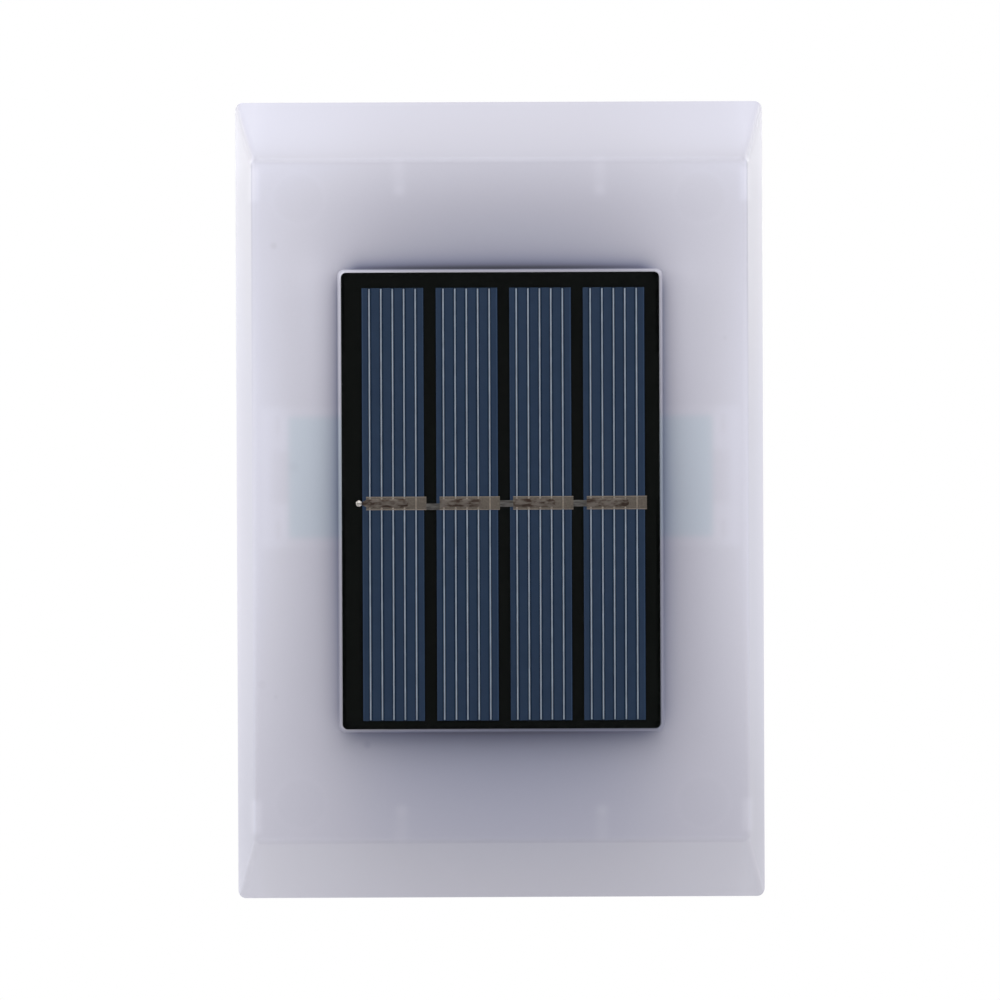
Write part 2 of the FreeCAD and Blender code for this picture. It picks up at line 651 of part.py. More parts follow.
def carrier_arm(sx, sz):
    """One corner clip: a low pad, a tall bar by the board and a notch."""
    near = board_half_width() + BOARD_CLEARANCE
    far = carrier_half_width()
    inner = TONGUE_HEIGHT / 2 + BOARD_CLEARANCE
    outer = CARRIER_HALF_HEIGHT - RAIL_WIDTH
    zs = sorted((BOARD_CENTRE_Z + sz * inner, BOARD_CENTRE_Z + sz * outer))
    base = BOARD_BACK_DEPTH - CARRIER_PLATE / 2
    pad = block(sorted((sx * near, sx * far)), (base, BOARD_BACK_DEPTH + ARM_RISE), zs)
    bar_xs = sorted((sx * near, sx * (near + ARM_BAR_WIDTH)))
    bar = block(bar_xs, (base, BOARD_BACK_DEPTH + ARM_BAR_RISE), zs)
    notch_near = near + ARM_BAR_WIDTH
    notch_xs = sorted((sx * notch_near, sx * (notch_near + ARM_NOTCH_WIDTH)))
    notch_zs = sorted((BOARD_CENTRE_Z + sz * (outer - ARM_NOTCH_HEIGHT),
                       BOARD_CENTRE_Z + sz * outer))
    notch = block(notch_xs, (BOARD_BACK_DEPTH, BOARD_BACK_DEPTH + ARM_RISE), notch_zs)
    return pad.cut(notch).fuse(bar)


def board_carrier():
    """Moulded band that holds the board, wall to wall."""
    half = carrier_half_width()
    plate_depths = (CARRIER_BACK_DEPTH, BOARD_BACK_DEPTH)
    plate = centred_block(0, BOARD_CENTRE_Z, 2 * half, 2 * CARRIER_HALF_HEIGHT, plate_depths)
    added = []
    rail_depths = (CARRIER_BACK_DEPTH, BOARD_BACK_DEPTH + RAIL_RISE)
    for sz in SIDES:
        z = BOARD_CENTRE_Z + sz * (CARRIER_HALF_HEIGHT - RAIL_WIDTH / 2)
        added.append(centred_block(0, z, 2 * half, RAIL_WIDTH, rail_depths))
        added += [carrier_arm(sx, sz) for sx in SIDES]
    opening = SWITCH_SIZE + 2 * SWITCH_HOLE_MARGIN
    removed = [centred_block(SWITCH_X, SWITCH_Z, opening, opening, plate_depths)]
    radius = CARRIER_SCREW_DIAMETER / 2 + THROUGH_CLEARANCE
    removed += [rod(radius, plate_depths, x, z) for x, z in post_places()]
    return plate.fuse(added).cut(removed).removeSplitter()


def carrier_screws():
    """Two pan-head screws through the board into the rear cover's posts."""
    head_depth = BOARD_FACE_DEPTH + CARRIER_SCREW_HEAD_HEIGHT
    tip_depth = CARRIER_BACK_DEPTH - CARRIER_SCREW_BITE
    screws = []
    for x, z in post_places():
        shank = rod(CARRIER_SCREW_DIAMETER / 2, (tip_depth, BOARD_FACE_DEPTH), x, z)
        head = rod(CARRIER_SCREW_HEAD / 2, (BOARD_FACE_DEPTH, head_depth), x, z)
        drive = cross_recess(x, z, (head_depth - DRIVE_SLOT_DEPTH, head_depth))
        screws.append(shank.fuse(head).cut(drive))
    return group(screws)


def controller_chip():
    """Eight-lead controller body."""
    z = BOARD_CENTRE_Z + CHIP_RISE
    depths = (BOARD_FACE_DEPTH + CHIP_LEAD_THICKNESS, BOARD_FACE_DEPTH + CHIP_HEIGHT)
    return centred_block(CHIP_X, z, CHIP_LENGTH, CHIP_WIDTH, depths)


def chip_leads():
    """Flat leads along both long sides of the chip."""
    middle = BOARD_CENTRE_Z + CHIP_RISE
    depths = (BOARD_FACE_DEPTH, BOARD_FACE_DEPTH + CHIP_LEAD_THICKNESS)
    leads = []
    for sz in SIDES:
        zs = sorted((middle + sz * (CHIP_WIDTH / 2 - CHIP_LEAD_TUCK),
                     middle + sz * (CHIP_WIDTH / 2 + CHIP_LEAD_REACH)))
        for index in range(CHIP_LEADS_PER_SIDE):
            x = CHIP_X + (index - (CHIP_LEADS_PER_SIDE - 1) / 2) * CHIP_LEAD_PITCH
            leads.append(block((x - CHIP_LEAD_WIDTH / 2, x + CHIP_LEAD_WIDTH / 2), depths, zs))
    return group(leads)


def boost_coil():
    """Drum coil of the driver."""
    z = BOARD_CENTRE_Z - COIL_DROP
    end = BOARD_FACE_DEPTH + COIL_HEIGHT
    lower = rod(COIL_RADIUS, (BOARD_FACE_DEPTH, BOARD_FACE_DEPTH + COIL_FLANGE), COIL_X, z)
    upper = rod(COIL_RADIUS, (end - COIL_FLANGE, end), COIL_X, z)
    core = rod(COIL_CORE_RADIUS, (BOARD_FACE_DEPTH, end), COIL_X, z)
    return join([lower, core, upper])


def capacitor():
    """Small can capacitor."""
    z = BOARD_CENTRE_Z - CAPACITOR_DROP
    can = rod(CAPACITOR_RADIUS, (BOARD_FACE_DEPTH, BOARD_FACE_DEPTH + CAPACITOR_HEIGHT),
              CAPACITOR_X, z)
    top = [e for e in can.Edges if e.BoundBox.YMax < -BOARD_FACE_DEPTH - CAPACITOR_HEIGHT / 2]
    return can.makeFillet(CAPACITOR_ROUND, top)


def resistors():
    """Flat resistors, one of them upright at the board's left edge."""
    depths = (BOARD_FACE_DEPTH, BOARD_FACE_DEPTH + RESISTOR_HEIGHT)
    pieces = [centred_block(x, BOARD_CENTRE_Z + rise, RESISTOR_LENGTH, RESISTOR_WIDTH, depths)
              for x, rise in RESISTOR_PLACES]
    edge_x = -(board_half_width() - EDGE_RESISTOR_INSET)
    edge_z = BOARD_CENTRE_Z + EDGE_RESISTOR_RISE
    pieces.append(centred_block(edge_x, edge_z, RESISTOR_WIDTH, RESISTOR_WIDTH, depths))
    return group(pieces)


def led_places():
    """Middles of the lamps on the board's tongues."""
    x = board_half_width() + TONGUE_REACH - LED_WIDTH / 2
    return [(sx * x, BOARD_CENTRE_Z + sz * LED_SPACING / 2) for sx in SIDES for sz in SIDES]


def leds():
    """White lamp packages with a round well."""
    front = BOARD_FACE_DEPTH + LED_HEIGHT
    pieces = []
    for x, z in led_places():
        body = centred_block(x, z, LED_WIDTH, LED_LENGTH, (BOARD_FACE_DEPTH, front))
        pieces.append(body.cut(rod(LED_WINDOW_RADIUS, (front - LED_WINDOW_DEPTH, front), x, z)))
    return group(pieces)


def led_phosphor():
    """Yellow fill in each lamp's well."""
    front = BOARD_FACE_DEPTH + LED_HEIGHT
    return group([rod(LED_WINDOW_RADIUS, (front - LED_WINDOW_DEPTH, front), x, z)
                  for x, z in led_places()])


# ---- Mode switch and button ----

def switch_body():
    """Push switch on the back of the board, open where the plunger slides."""
    depths = (SWITCH_TOP_DEPTH, BOARD_BACK_DEPTH)
    body = centred_block(SWITCH_X, SWITCH_Z, SWITCH_SIZE, SWITCH_SIZE, depths)
    width = PLUNGER_SIZE + 2 * PLUNGER_FIT
    well = centred_block(SWITCH_X, SWITCH_Z, width, width,
                         (SWITCH_TOP_DEPTH, SWITCH_WELL_DEPTH))
    return body.cut(well)


def switch_plunger():
    """Square stem between the button and the switch."""
    depths = (BUTTON_END_DEPTH - PLUNGER_SOCKET, SWITCH_TOP_DEPTH + PLUNGER_ENGAGEMENT)
    return centred_block(SWITCH_X, SWITCH_Z, PLUNGER_SIZE, PLUNGER_SIZE, depths)


def seal_ring_radius():
    """Radius of the seal's middle line, so that it just clears the bore."""
    return BORE_RADIUS - SEAL_CLEARANCE - SEAL_WIRE / 2


def mode_button():
    """Round button with a stop flange, a seal groove and a stem socket."""
    radius = BUTTON_DIAMETER / 2
    cap = rod(radius, (BUTTON_SINK, BUTTON_END_DEPTH), SWITCH_X, SWITCH_Z)
    outer = [e for e in cap.Edges if e.BoundBox.YMin > -(BUTTON_SINK + BUTTON_ROUND)]
    cap = cap.makeFillet(BUTTON_ROUND, outer)
    flange = rod(BUTTON_FLANGE_RADIUS, (FLANGE_DEPTH, BUTTON_END_DEPTH), SWITCH_X, SWITCH_Z)
    floor = seal_ring_radius() - SEAL_WIRE / 2 - SEAL_CLEARANCE
    groove_depths = (SEAL_DEPTH - SEAL_WIRE / 2 - SEAL_CLEARANCE,
                     SEAL_DEPTH + SEAL_WIRE / 2 + SEAL_CLEARANCE)
    groove = rod(radius + CUT_MARGIN, groove_depths, SWITCH_X, SWITCH_Z)
    groove = groove.cut(rod(floor, groove_depths, SWITCH_X, SWITCH_Z))
    socket = centred_block(SWITCH_X, SWITCH_Z, PLUNGER_SIZE, PLUNGER_SIZE,
                           (BUTTON_END_DEPTH - PLUNGER_SOCKET, BUTTON_END_DEPTH))
    return cap.fuse(flange).cut([groove, socket])


def button_seal():
    """Rubber ring in the button's groove."""
    centre = FreeCAD.Vector(SWITCH_X, -SEAL_DEPTH, SWITCH_Z)
    return Part.makeTorus(seal_ring_radius(), SEAL_WIRE / 2, centre, BACKWARD)


# ---- Battery ----

def battery_ends():
    """X of the cell's flat end and of its shoulder at the positive end."""
    flat = -POCKET_HALF_LENGTH + SPRING_SPACE
    return flat, flat + BATTERY_LENGTH


def battery_cell():
    """Rechargeable cell with its positive nub to the right."""
    flat, shoulder = battery_ends()
    along = FreeCAD.Vector(1, 0, 0)
    can = Part.makeCylinder(BATTERY_RADIUS, shoulder - flat,
                            FreeCAD.Vector(flat, -BATTERY_DEPTH, HOLDER_Z), along)
    rims = [e for e in can.Edges if e.BoundBox.XLength < TOLERANCE]
    can = can.makeFillet(BATTERY_ROUND, rims)
    nub = Part.makeCylinder(NUB_RADIUS, NUB_LENGTH,
                            FreeCAD.Vector(shoulder, -BATTERY_DEPTH, HOLDER_Z), along)
    return can.fuse(nub)


def battery_holder():
    """Open tray screwed to the rear cover."""
    depths = (REAR_THICKNESS, HOLDER_RIM_DEPTH)
    body = centred_block(0, HOLDER_Z, 2 * HOLDER_HALF_LENGTH, 2 * HOLDER_HALF_HEIGHT, depths)
    floor = REAR_THICKNESS + HOLDER_FLOOR
    inside = HOLDER_HALF_HEIGHT - HOLDER_WALL
    pocket = centred_block(0, HOLDER_Z, 2 * POCKET_HALF_LENGTH, 2 * inside,
                           (floor, HOLDER_RIM_DEPTH))
    radius = HOLDER_SCREW_DIAMETER / 2 + THROUGH_CLEARANCE
    head = HOLDER_SCREW_HEAD / 2 + HEAD_CLEARANCE
    removed = [pocket]
    for x, z in holder_screw_places():
        removed.append(rod(radius, (REAR_THICKNESS, floor), x, z))
        removed.append(cone((radius, head), (floor - HOLDER_SCREW_HEAD_HEIGHT, floor), x, z))
    return body.cut(removed)


def holder_screws():
    """Two short countersunk screws under the battery."""
    floor = REAR_THICKNESS + HOLDER_FLOOR
    radius = HOLDER_SCREW_DIAMETER / 2
    screws = []
    for x, z in holder_screw_places():
        neck = floor - HOLDER_SCREW_HEAD_HEIGHT
        head = cone((radius, HOLDER_SCREW_HEAD / 2), (neck, floor), x, z)
        shank = rod(radius, (floor - HOLDER_SCREW_LENGTH, neck), x, z)
        screws.append(head.fuse(shank))
    return group(screws)


def contact_plate(sx):
    """Upright plate at a pocket's end with a tab folded over the wall."""
    floor = REAR_THICKNESS + HOLDER_FLOOR
    end = POCKET_HALF_LENGTH
    front = HOLDER_RIM_DEPTH + CONTACT_THICKNESS
    zs = (HOLDER_Z - CONTACT_WIDTH / 2, HOLDER_Z + CONTACT_WIDTH / 2)
    plate = block(sorted((sx * (end - CONTACT_THICKNESS), sx * end)), (floor, front), zs)
    tab = block(sorted((sx * end, sx * (end - CONTACT_THICKNESS + CONTACT_TAB))),
                (HOLDER_RIM_DEPTH, front), zs)
    return plate.fuse(tab)


def positive_contact():
    """Flat contact against the cell's nub."""
    return contact_plate(1).removeSplitter()


def spring_prism(corners):
    """Upright prism of the spring leaf's width on corners given as X and depth."""
    bottom = HOLDER_Z - SPRING_WIDTH / 2
    points = [FreeCAD.Vector(x, -depth, bottom) for x, depth in corners]
    face = Part.Face(Part.makePolygon(points + points[:1]))
    return face.extrude(FreeCAD.Vector(0, 0, SPRING_WIDTH))


def negative_contact():
    """Contact with a folded spring leaf against the cell's flat end."""
    plate = contact_plate(-1)
    root = -POCKET_HALF_LENGTH
    tip = battery_ends()[0]
    base = REAR_THICKNESS + HOLDER_FLOOR + CONTACT_THICKNESS
    fold = base + SPRING_FOLD
    end = fold + SPRING_FOLD
    leaf = spring_prism(((root, base), (root + CONTACT_THICKNESS, base), (tip, fold),
                         (root + CONTACT_THICKNESS, end), (root, end)))
    hollow = spring_prism(((root - CUT_MARGIN, base + 2 * CONTACT_THICKNESS),
                           (tip - 2 * CONTACT_THICKNESS, fold),
                           (root - CUT_MARGIN, end - 2 * CONTACT_THICKNESS)))
    return plate.fuse(leaf.cut(hollow)).removeSplitter()


# ---- Leads ----

def tangent_path(name, points):
    """Straight runs joined by tangent arcs, each as large as its runs allow."""
    edges = []
    start = points[0]
    for before, corner, after in zip(points, points[1:], points[2:]):
        arriving = corner - before
        leaving = after - corner
        half_turn = arriving.getAngle(leaving) / 2
        trim = ARC_SHARE * min(arriving.Length, leaving.Length)
        radius = trim / math.tan(half_turn)
        arriving.normalize()
        leaving.normalize()
        first = corner - arriving * trim
        last = corner + leaving * trim
        inward = (leaving - arriving).normalize()
        middle = corner + inward * (radius / math.cos(half_turn) - radius)
        edges.append(Part.LineSegment(start, first).toShape())
        edges.append(Part.Arc(first, middle, last).toShape())
        start = last
        print("%s arc radius %.1f mm" % (name, radius))
    edges.append(Part.LineSegment(start, points[-1]).toShape())
    return Part.Wire(edges)


def lead(name, points):
    """Round insulated lead along a path."""
    path = tangent_path(name, points)
    section = Part.makeCircle(LEAD_DIAMETER / 2, points[0], points[1] - points[0])
    tube = path.makePipeShell([Part.Wire(section)], True, False)
    expected = math.pi * LEAD_DIAMETER ** 2 / 4 * path.Length
    print("%s length %.1f mm, volume %.4f of section times length"
          % (name, path.Length, tube.Volume / expected))
    return tube


def panel_lead(name, sx):
    """Lead from the panel's back, down to the board's top edge."""
    x = sx * PANEL_LEAD_SPACING / 2
    end_z = BOARD_CENTRE_Z + BOARD_HEIGHT / 2 - PANEL_LEAD_END_DROP
    stops = ((PANEL_BACK_DEPTH, PANEL_LEAD_Z), (LEAD_CREST_DEPTH, PANEL_LEAD_Z),
             (LEAD_CREST_DEPTH, end_z), (BOARD_FACE_DEPTH, end_z))
    return lead(name, [FreeCAD.Vector(x, -depth, z) for depth, z in stops])


def battery_lead(name, sx):
    """Lead from a battery contact over the rail to the board."""
    x = sx * (POCKET_HALF_LENGTH - CONTACT_THICKNESS + CONTACT_TAB / 2)
    inner_x = x - sx * BATTERY_LEAD_SWAY
    end_z = BOARD_CENTRE_Z - BOARD_HEIGHT / 2 + BATTERY_LEAD_END_RISE
    middle_z = (HOLDER_Z + end_z) / 2
    stops = ((x, HOLDER_RIM_DEPTH + CONTACT_THICKNESS, HOLDER_Z),
             (x, LEAD_CREST_DEPTH, HOLDER_Z),
             (inner_x, LEAD_CREST_DEPTH, middle_z),
             (x, LEAD_CREST_DEPTH, end_z),
             (x, BOARD_FACE_DEPTH, end_z))
    return lead(name, [FreeCAD.Vector(px, -depth, z) for px, depth, z in stops])


def build():
    """Every node with its shape."""
    return {
        "front_cover": front_cover(),
        "rear_cover": rear_cover(),
        "cover_gasket": cover_gasket(),
        "case_screws": case_screws(),
        "panel_adhesive": panel_adhesive(),
        "panel_board": panel_board(),
        "solar_cells": solar_cells(),
        "busbar_pads": busbar_pads(),
        "cell_ribbons": cell_ribbons(),
        "solder_tip": solder_tip(),
        "panel_film": panel_film(),
        "main_board": main_board(),
        "board_carrier": board_carrier(),
        "carrier_screws": carrier_screws(),
        "controller_chip": controller_chip(),
        "chip_leads": chip_leads(),
        "boost_coil": boost_coil(),
        "capacitor": capacitor(),
        "resistors": resistors(),
        "leds": leds(),
        "led_phosphor": led_phosphor(),
        "switch_body": switch_body(),
        "switch_plunger": switch_plunger(),
        "mode_button": mode_button(),
        "button_seal": button_seal(),
        "battery_cell": battery_cell(),
        "battery_holder": battery_holder(),
        "holder_screws": holder_screws(),
        "positive_contact": positive_contact(),
        "negative_contact": negative_contact(),
        "panel_lead_red": panel_lead("panel_lead_red", -1),
        "panel_lead_black": panel_lead("panel_lead_black", 1),
        "battery_lead_red": battery_lead("battery_lead_red", 1),
        "battery_lead_black": battery_lead("battery_lead_black", -1),
    }


os.makedirs("parts", exist_ok=True)
for node, shape in build().items():
    shape.exportStep("parts/%s.step" % node)
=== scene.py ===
import logging
import math
from collections.abc import Callable, Mapping, Sequence
from dataclasses import dataclass
from enum import Enum

import bmesh
import bpy
from mathutils import Matrix, Vector


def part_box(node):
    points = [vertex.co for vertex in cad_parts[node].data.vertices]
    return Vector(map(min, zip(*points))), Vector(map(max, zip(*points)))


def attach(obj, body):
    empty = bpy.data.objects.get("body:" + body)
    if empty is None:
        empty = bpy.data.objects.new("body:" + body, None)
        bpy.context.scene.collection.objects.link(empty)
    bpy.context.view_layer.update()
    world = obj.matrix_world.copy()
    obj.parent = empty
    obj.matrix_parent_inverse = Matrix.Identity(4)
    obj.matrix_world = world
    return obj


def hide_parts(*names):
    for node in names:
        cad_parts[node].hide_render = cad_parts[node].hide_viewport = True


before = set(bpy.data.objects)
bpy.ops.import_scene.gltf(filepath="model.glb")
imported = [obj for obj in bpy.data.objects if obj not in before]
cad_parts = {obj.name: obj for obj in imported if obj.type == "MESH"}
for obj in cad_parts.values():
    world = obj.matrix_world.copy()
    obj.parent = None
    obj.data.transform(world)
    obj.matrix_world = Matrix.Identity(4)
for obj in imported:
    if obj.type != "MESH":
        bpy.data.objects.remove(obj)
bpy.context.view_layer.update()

# Looks of a solar fence light: a milky box with a raised solar panel on its face.
# Sizes are in millimetres. X is to the right, Z is up, and "depth" is counted from
# the wall towards the face, so depth d lies at y = -d.

LOG = logging.getLogger("fence_light")
MM = 0.001
SHARP_ANGLE = math.radians(40)     # a fold sharper than this shows as an edge

Colour = tuple[float, float, float, float]
Place = tuple[float, float, float]
Span = tuple[float, float]


def linear(colour: str) -> Colour:
    """Turn an sRGB hex colour into linear values.

    Args:
        colour: Six hex digits, two for each channel.

    Returns:
        Linear red, green and blue, and full cover.
    """
    channels = [int(colour[i:i + 2], 16) / 255 for i in (0, 2, 4)]
    red, green, blue = [c / 12.92 if c <= 0.04045 else ((c + 0.055) / 1.055) ** 2.4
                        for c in channels]
    return red, green, blue, 1.0


def add_node(tree: bpy.types.NodeTree, kind: str, settings: Mapping[str, object] | None = None,
             inputs: Mapping[str | int, object] | None = None) -> bpy.types.Node:
    """Add a node with its settings and links.

    Args:
        tree: The node tree that gets the node.
        kind: Blender's name for the node.
        settings: The node's own settings by name.
        inputs: A field, a socket or a plain value for each input.

    Returns:
        The new node.
    """
    node = tree.nodes.new(kind)
    for name, value in (settings or {}).items():
        setattr(node, name, value)
    for key, value in (inputs or {}).items():
        source = value.socket if isinstance(value, Field) else value
        if isinstance(source, bpy.types.NodeSocket):
            tree.links.new(source, node.inputs[key])
        else:
            node.inputs[key].default_value = source
    return node


class Field:
    """A number that varies over a surface, written as arithmetic and kept as nodes."""

    def __init__(self, socket: bpy.types.NodeSocket) -> None:
        """Hold the socket that carries the number."""
        self.socket = socket

    def step(self, operation: str, *others: "Field | float") -> "Field":
        """Take one step of arithmetic.

        Args:
            operation: Blender's name for the step.
            others: What the number is combined with.

        Returns:
            The result.
        """
        terms = dict(enumerate((self, *others)))
        node = add_node(self.socket.id_data, "ShaderNodeMath", {"operation": operation}, terms)
        return Field(node.outputs[0])

    def __add__(self, other: "Field | float") -> "Field":
        """Sum of two fields."""
        return self.step("ADD", other)

    def __sub__(self, other: "Field | float") -> "Field":
        """Difference of two fields."""
        return self.step("SUBTRACT", other)

    def __mul__(self, other: "Field | float") -> "Field":
        """Product of two fields."""
        return self.step("MULTIPLY", other)

    def __truediv__(self, other: "Field | float") -> "Field":
        """Ratio of two fields."""
        return self.step("DIVIDE", other)

    def __neg__(self) -> "Field":
        """The field with its sign turned."""
        return self.step("MULTIPLY", -1.0)

    def __abs__(self) -> "Field":
        """The field without its sign."""
        return self.step("ABSOLUTE")

    def exp(self) -> "Field":
        """The exponential of the field."""
        return self.step("EXPONENT")

    def least(self, value: "Field | float") -> "Field":
        """The field, raised to a value where it is lower."""
        return self.step("MAXIMUM", value)

    def most(self, value: "Field | float") -> "Field":
        """The field, lowered to a value where it is higher."""
        return self.step("MINIMUM", value)

    def reach(self, other: "Field") -> "Field":
        """Length of the line that goes this far one way and the other far across."""
        return (self * self + other * other).step("SQRT")

    def rise(self, edge: float, width: float) -> "Field":
        """Soft step from 0 to 1, half done at the edge and as gentle as the width."""
        falling = ((-self + edge) / width).exp() + 1.0
        return falling.step("POWER", -1.0)

    def fall(self, edge: float, width: float) -> "Field":
        """Soft step from 1 to 0, half done at the edge and as gentle as the width."""
        return (-self).rise(-edge, width)

    def hump(self, middle: float, width: float) -> "Field":
        """Soft hump of height 1 at the middle, as gentle as the width."""
        off = (self - middle) / width
        return (off * -off).exp()


class Skin:
    """A material in the making, with its place on the object in millimetres."""

    def __init__(self, name: str) -> None:
        """Start a material and measure the place on the object.

        Args:
            name: The material's name.
        """
        self.material = bpy.data.materials.new(name)
        self.material.use_nodes = True
        self.tree = self.material.node_tree
        self.shader = self.tree.nodes["Principled BSDF"]
        where = add_node(self.tree, "ShaderNodeTexCoord")
        scaled = add_node(self.tree, "ShaderNodeVectorMath", {"operation": "SCALE"},
                          {"Vector": where.outputs["Object"], "Scale": 1 / MM})
        self.place = scaled.outputs["Vector"]
        parts = add_node(self.tree, "ShaderNodeSeparateXYZ", None, {"Vector": self.place})
        self.x = Field(parts.outputs["X"])
        self.depth = -Field(parts.outputs["Y"])
        self.z = Field(parts.outputs["Z"])

    def feed(self, socket: str, source: Field | bpy.types.NodeSocket) -> None:
        """Link a field or a socket to one of the shader's inputs."""
        value = source.socket if isinstance(source, Field) else source
        self.tree.links.new(value, self.shader.inputs[socket])


@dataclass(frozen=True)
class Drift:
    """A value that changes evenly over the object, for each millimetre and its square."""

    base: float
    x: float = 0.0
    z: float = 0.0
    xx: float = 0.0
    zz: float = 0.0

    def over(self, x: Field, z: Field) -> Field:
        """The value at each place."""
        return x * self.x + z * self.z + x * x * self.xx + z * z * self.zz + self.base


@dataclass(frozen=True)
class Fading:
    """Light or shade that is strongest at an edge and fades with the way from it."""

    gain: float
    length: float

    def at(self, way: Field) -> Field:
        """What is left of it, the way being 0 at the edge and negative beyond."""
        return (way / self.length).exp() * self.gain


@dataclass(frozen=True)
class Finish:
    """A surface as it is made: two colours in a pattern, its gloss and its relief.

    The plain finish has a cloudy pattern, and its kinds below draw their own.
    """

    name: str
    dark: str
    light: str
    roughness: float
    grain: float               # size of the pattern
    relief: float              # depth of the pattern
    metallic: float = 0.0
    shine: float = 0.5         # share of the usual mirror light, 0.5 being all of it
    unevenness: float = 0.1    # how much the pattern changes the roughness

    def pattern(self, skin: Skin) -> Field:
        """Draw where the light colour shows.

        Args:
            skin: The material in the making.

        Returns:
            0 in the dark colour and 1 in the light one.
        """
        noise = add_node(skin.tree, "ShaderNodeTexNoise", None,
                         {"Vector": skin.place, "Scale": 1 / self.grain, "Detail": 3.0})
        return Field(noise.outputs["Fac"])

    def colour(self, skin: Skin, pattern: Field) -> bpy.types.NodeSocket:
        """Colour the surface.

        Args:
            skin: The material in the making.
            pattern: What pattern() drew.

        Returns:
            The socket of the base colour.
        """
        mixed = add_node(skin.tree, "ShaderNodeMix", {"data_type": "RGBA"},
                         {0: pattern, 6: linear(self.dark), 7: linear(self.light)})
        return mixed.outputs[2]

    def material(self) -> bpy.types.Material:
        """Make the material.

        Returns:
            A material of the finish's name.
        """
        skin = Skin(self.name)
        pattern = self.pattern(skin)
        skin.feed("Base Color", self.colour(skin, pattern))
        skin.feed("Roughness", pattern * self.unevenness + (self.roughness - self.unevenness / 2))
        pressed = add_node(skin.tree, "ShaderNodeBump", None,
                           {"Height": pattern, "Distance": self.relief * MM, "Strength": 1.0})
        skin.feed("Normal", pressed.outputs["Normal"])
        skin.shader.inputs["Metallic"].default_value = self.metallic
        if not self.metallic:
            skin.shader.inputs["Specular IOR Level"].default_value = self.shine
        return skin.material


class Mirrored(Enum):
    """How a ghost repeats itself."""

    NOT = 0
    SIDES = 1
    CORNERS = 2


class Outline(Enum):
    """What shape a ghost has."""

    BLOCK = 0
    DISC = 1
    RING = 2


@dataclass(frozen=True)
class Ghost:
    """Painted light or shade of a piece behind the milky wall, by the sign of its gain, or a speck
    of dust in the wall.
    """

    middle: Span
    half: Span
    # Set up the lamps, the camera and the floor, and a plain view transform.
    gain: float
    mirrored: Mirrored = Mirrored.CORNERS
    outline: Outline = Outline.BLOCK
    blur: float = 0.25
    centre_z: float = 0.0      # what the upper and lower copies lie about

    def mask(self, skin: Skin) -> Field:
        """Draw the piece's outline.

        Args:
            skin: The material of the wall in front of it.

        Returns:
            1 where the piece lies and 0 elsewhere, with a soft edge.
        """
        across = skin.x if self.mirrored is Mirrored.NOT else abs(skin.x)
        upright = skin.z - self.centre_z
        upright = abs(upright) if self.mirrored is Mirrored.CORNERS else upright
        off_x, off_z = abs(across - self.middle[0]), abs(upright - self.middle[1])
        if self.outline is Outline.BLOCK:
            return off_x.fall(self.half[0], self.blur) * off_z.fall(self.half[1], self.blur)
        away = off_x.reach(off_z)
        if self.outline is Outline.RING:
            away = abs(away - self.half[0])
            return away.fall(self.half[1], self.blur)
        return away.fall(self.half[0], self.blur)


@dataclass(frozen=True)
class MilkyPolycarbonate(Finish):
    """Polycarbonate with a white pigment, injection moulded in a spark-eroded tool.

    Its colour is painted light and shade: painted light soaks in at the rim and fades on its way
    to the middle, painted shade lies round the panel's foot, and what lies behind shows as painted
    ghosts.
    """

    glow: Callable[[Skin], Field] | None = None
    ghosts: tuple[Ghost, ...] = ()
    board: Ghost | None = None
    board_tint: str = "F4FFFF"

    def colour(self, skin: Skin, pattern: Field) -> bpy.types.NodeSocket:
        """Colour the wall from the painted light and shade that it holds.

        Args:
            skin: The material in the making.
            pattern: What pattern() drew.

        Returns:
            The socket of the base colour.
        """
        held = self.glow(skin) * (pattern * 0.03 + 0.985)
        for ghost in self.ghosts:
            held = held * (ghost.mask(skin) * ghost.gain + 1.0)
        # Thick or shaded milk looks violet, and well-lit milk nearly white.
        ramp = add_node(skin.tree, "ShaderNodeValToRGB", None, {"Fac": held})
        stops = ((0.0, "000000"), (0.156, "6C6E84"), (0.253, "888A9D"), (0.402, "ABAAB7"),
                 (0.545, "C4C3CF"), (0.656, "D4D4E2"), (0.85, "EEEDFA"), (1.0, "F9F7FF"))
        elements = ramp.color_ramp.elements
        while len(elements) < len(stops):
            elements.new(0.5)
        for element, (position, colour) in zip(elements, stops):
            element.position = position
            element.color = linear(colour)
        if self.board is None:
            return ramp.outputs["Color"]
        # The green board takes red out of the painted light that comes back.
        tinted = add_node(skin.tree, "ShaderNodeMix",
                          {"data_type": "RGBA", "blend_type": "MULTIPLY"},
                          {0: self.board.mask(skin), 6: ramp.outputs["Color"],
                           7: linear(self.board_tint)})
        return tinted.outputs[2]


@dataclass(frozen=True)
class TurnedSteel(Finish):
    """Screw steel with zinc plating: fine rings from turning round each screw's axis."""

    axis: Span = (0.0, 0.0)
    level: float = 0.0         # height that the screws lie about

    def pattern(self, skin: Skin) -> Field:
        """Draw rings round the nearest screw's axis.

        Args:
            skin: The material in the making.

        Returns:
            0 in the dark colour and 1 in the light one.
        """
        off_x = abs(skin.x) - self.axis[0]
        off_z = abs(skin.z - self.level) - self.axis[1]
        away = off_x.reach(off_z)
        return (away * (math.tau / self.grain)).step("SINE") * 0.5 + 0.5


@dataclass(frozen=True)
class FoamTape(Finish):
    """Black acrylic foam tape: closed cells that show as tiny pits."""

    def pattern(self, skin: Skin) -> Field:
        """Draw the foam's cells.

        Args:
            skin: The material in the making.

        Returns:
            0 in the dark colour and 1 in the light one.
        """
        cells = add_node(skin.tree, "ShaderNodeTexVoronoi", None,
                         {"Vector": skin.place, "Scale": 1 / self.grain})
        return Field(cells.outputs["Distance"])


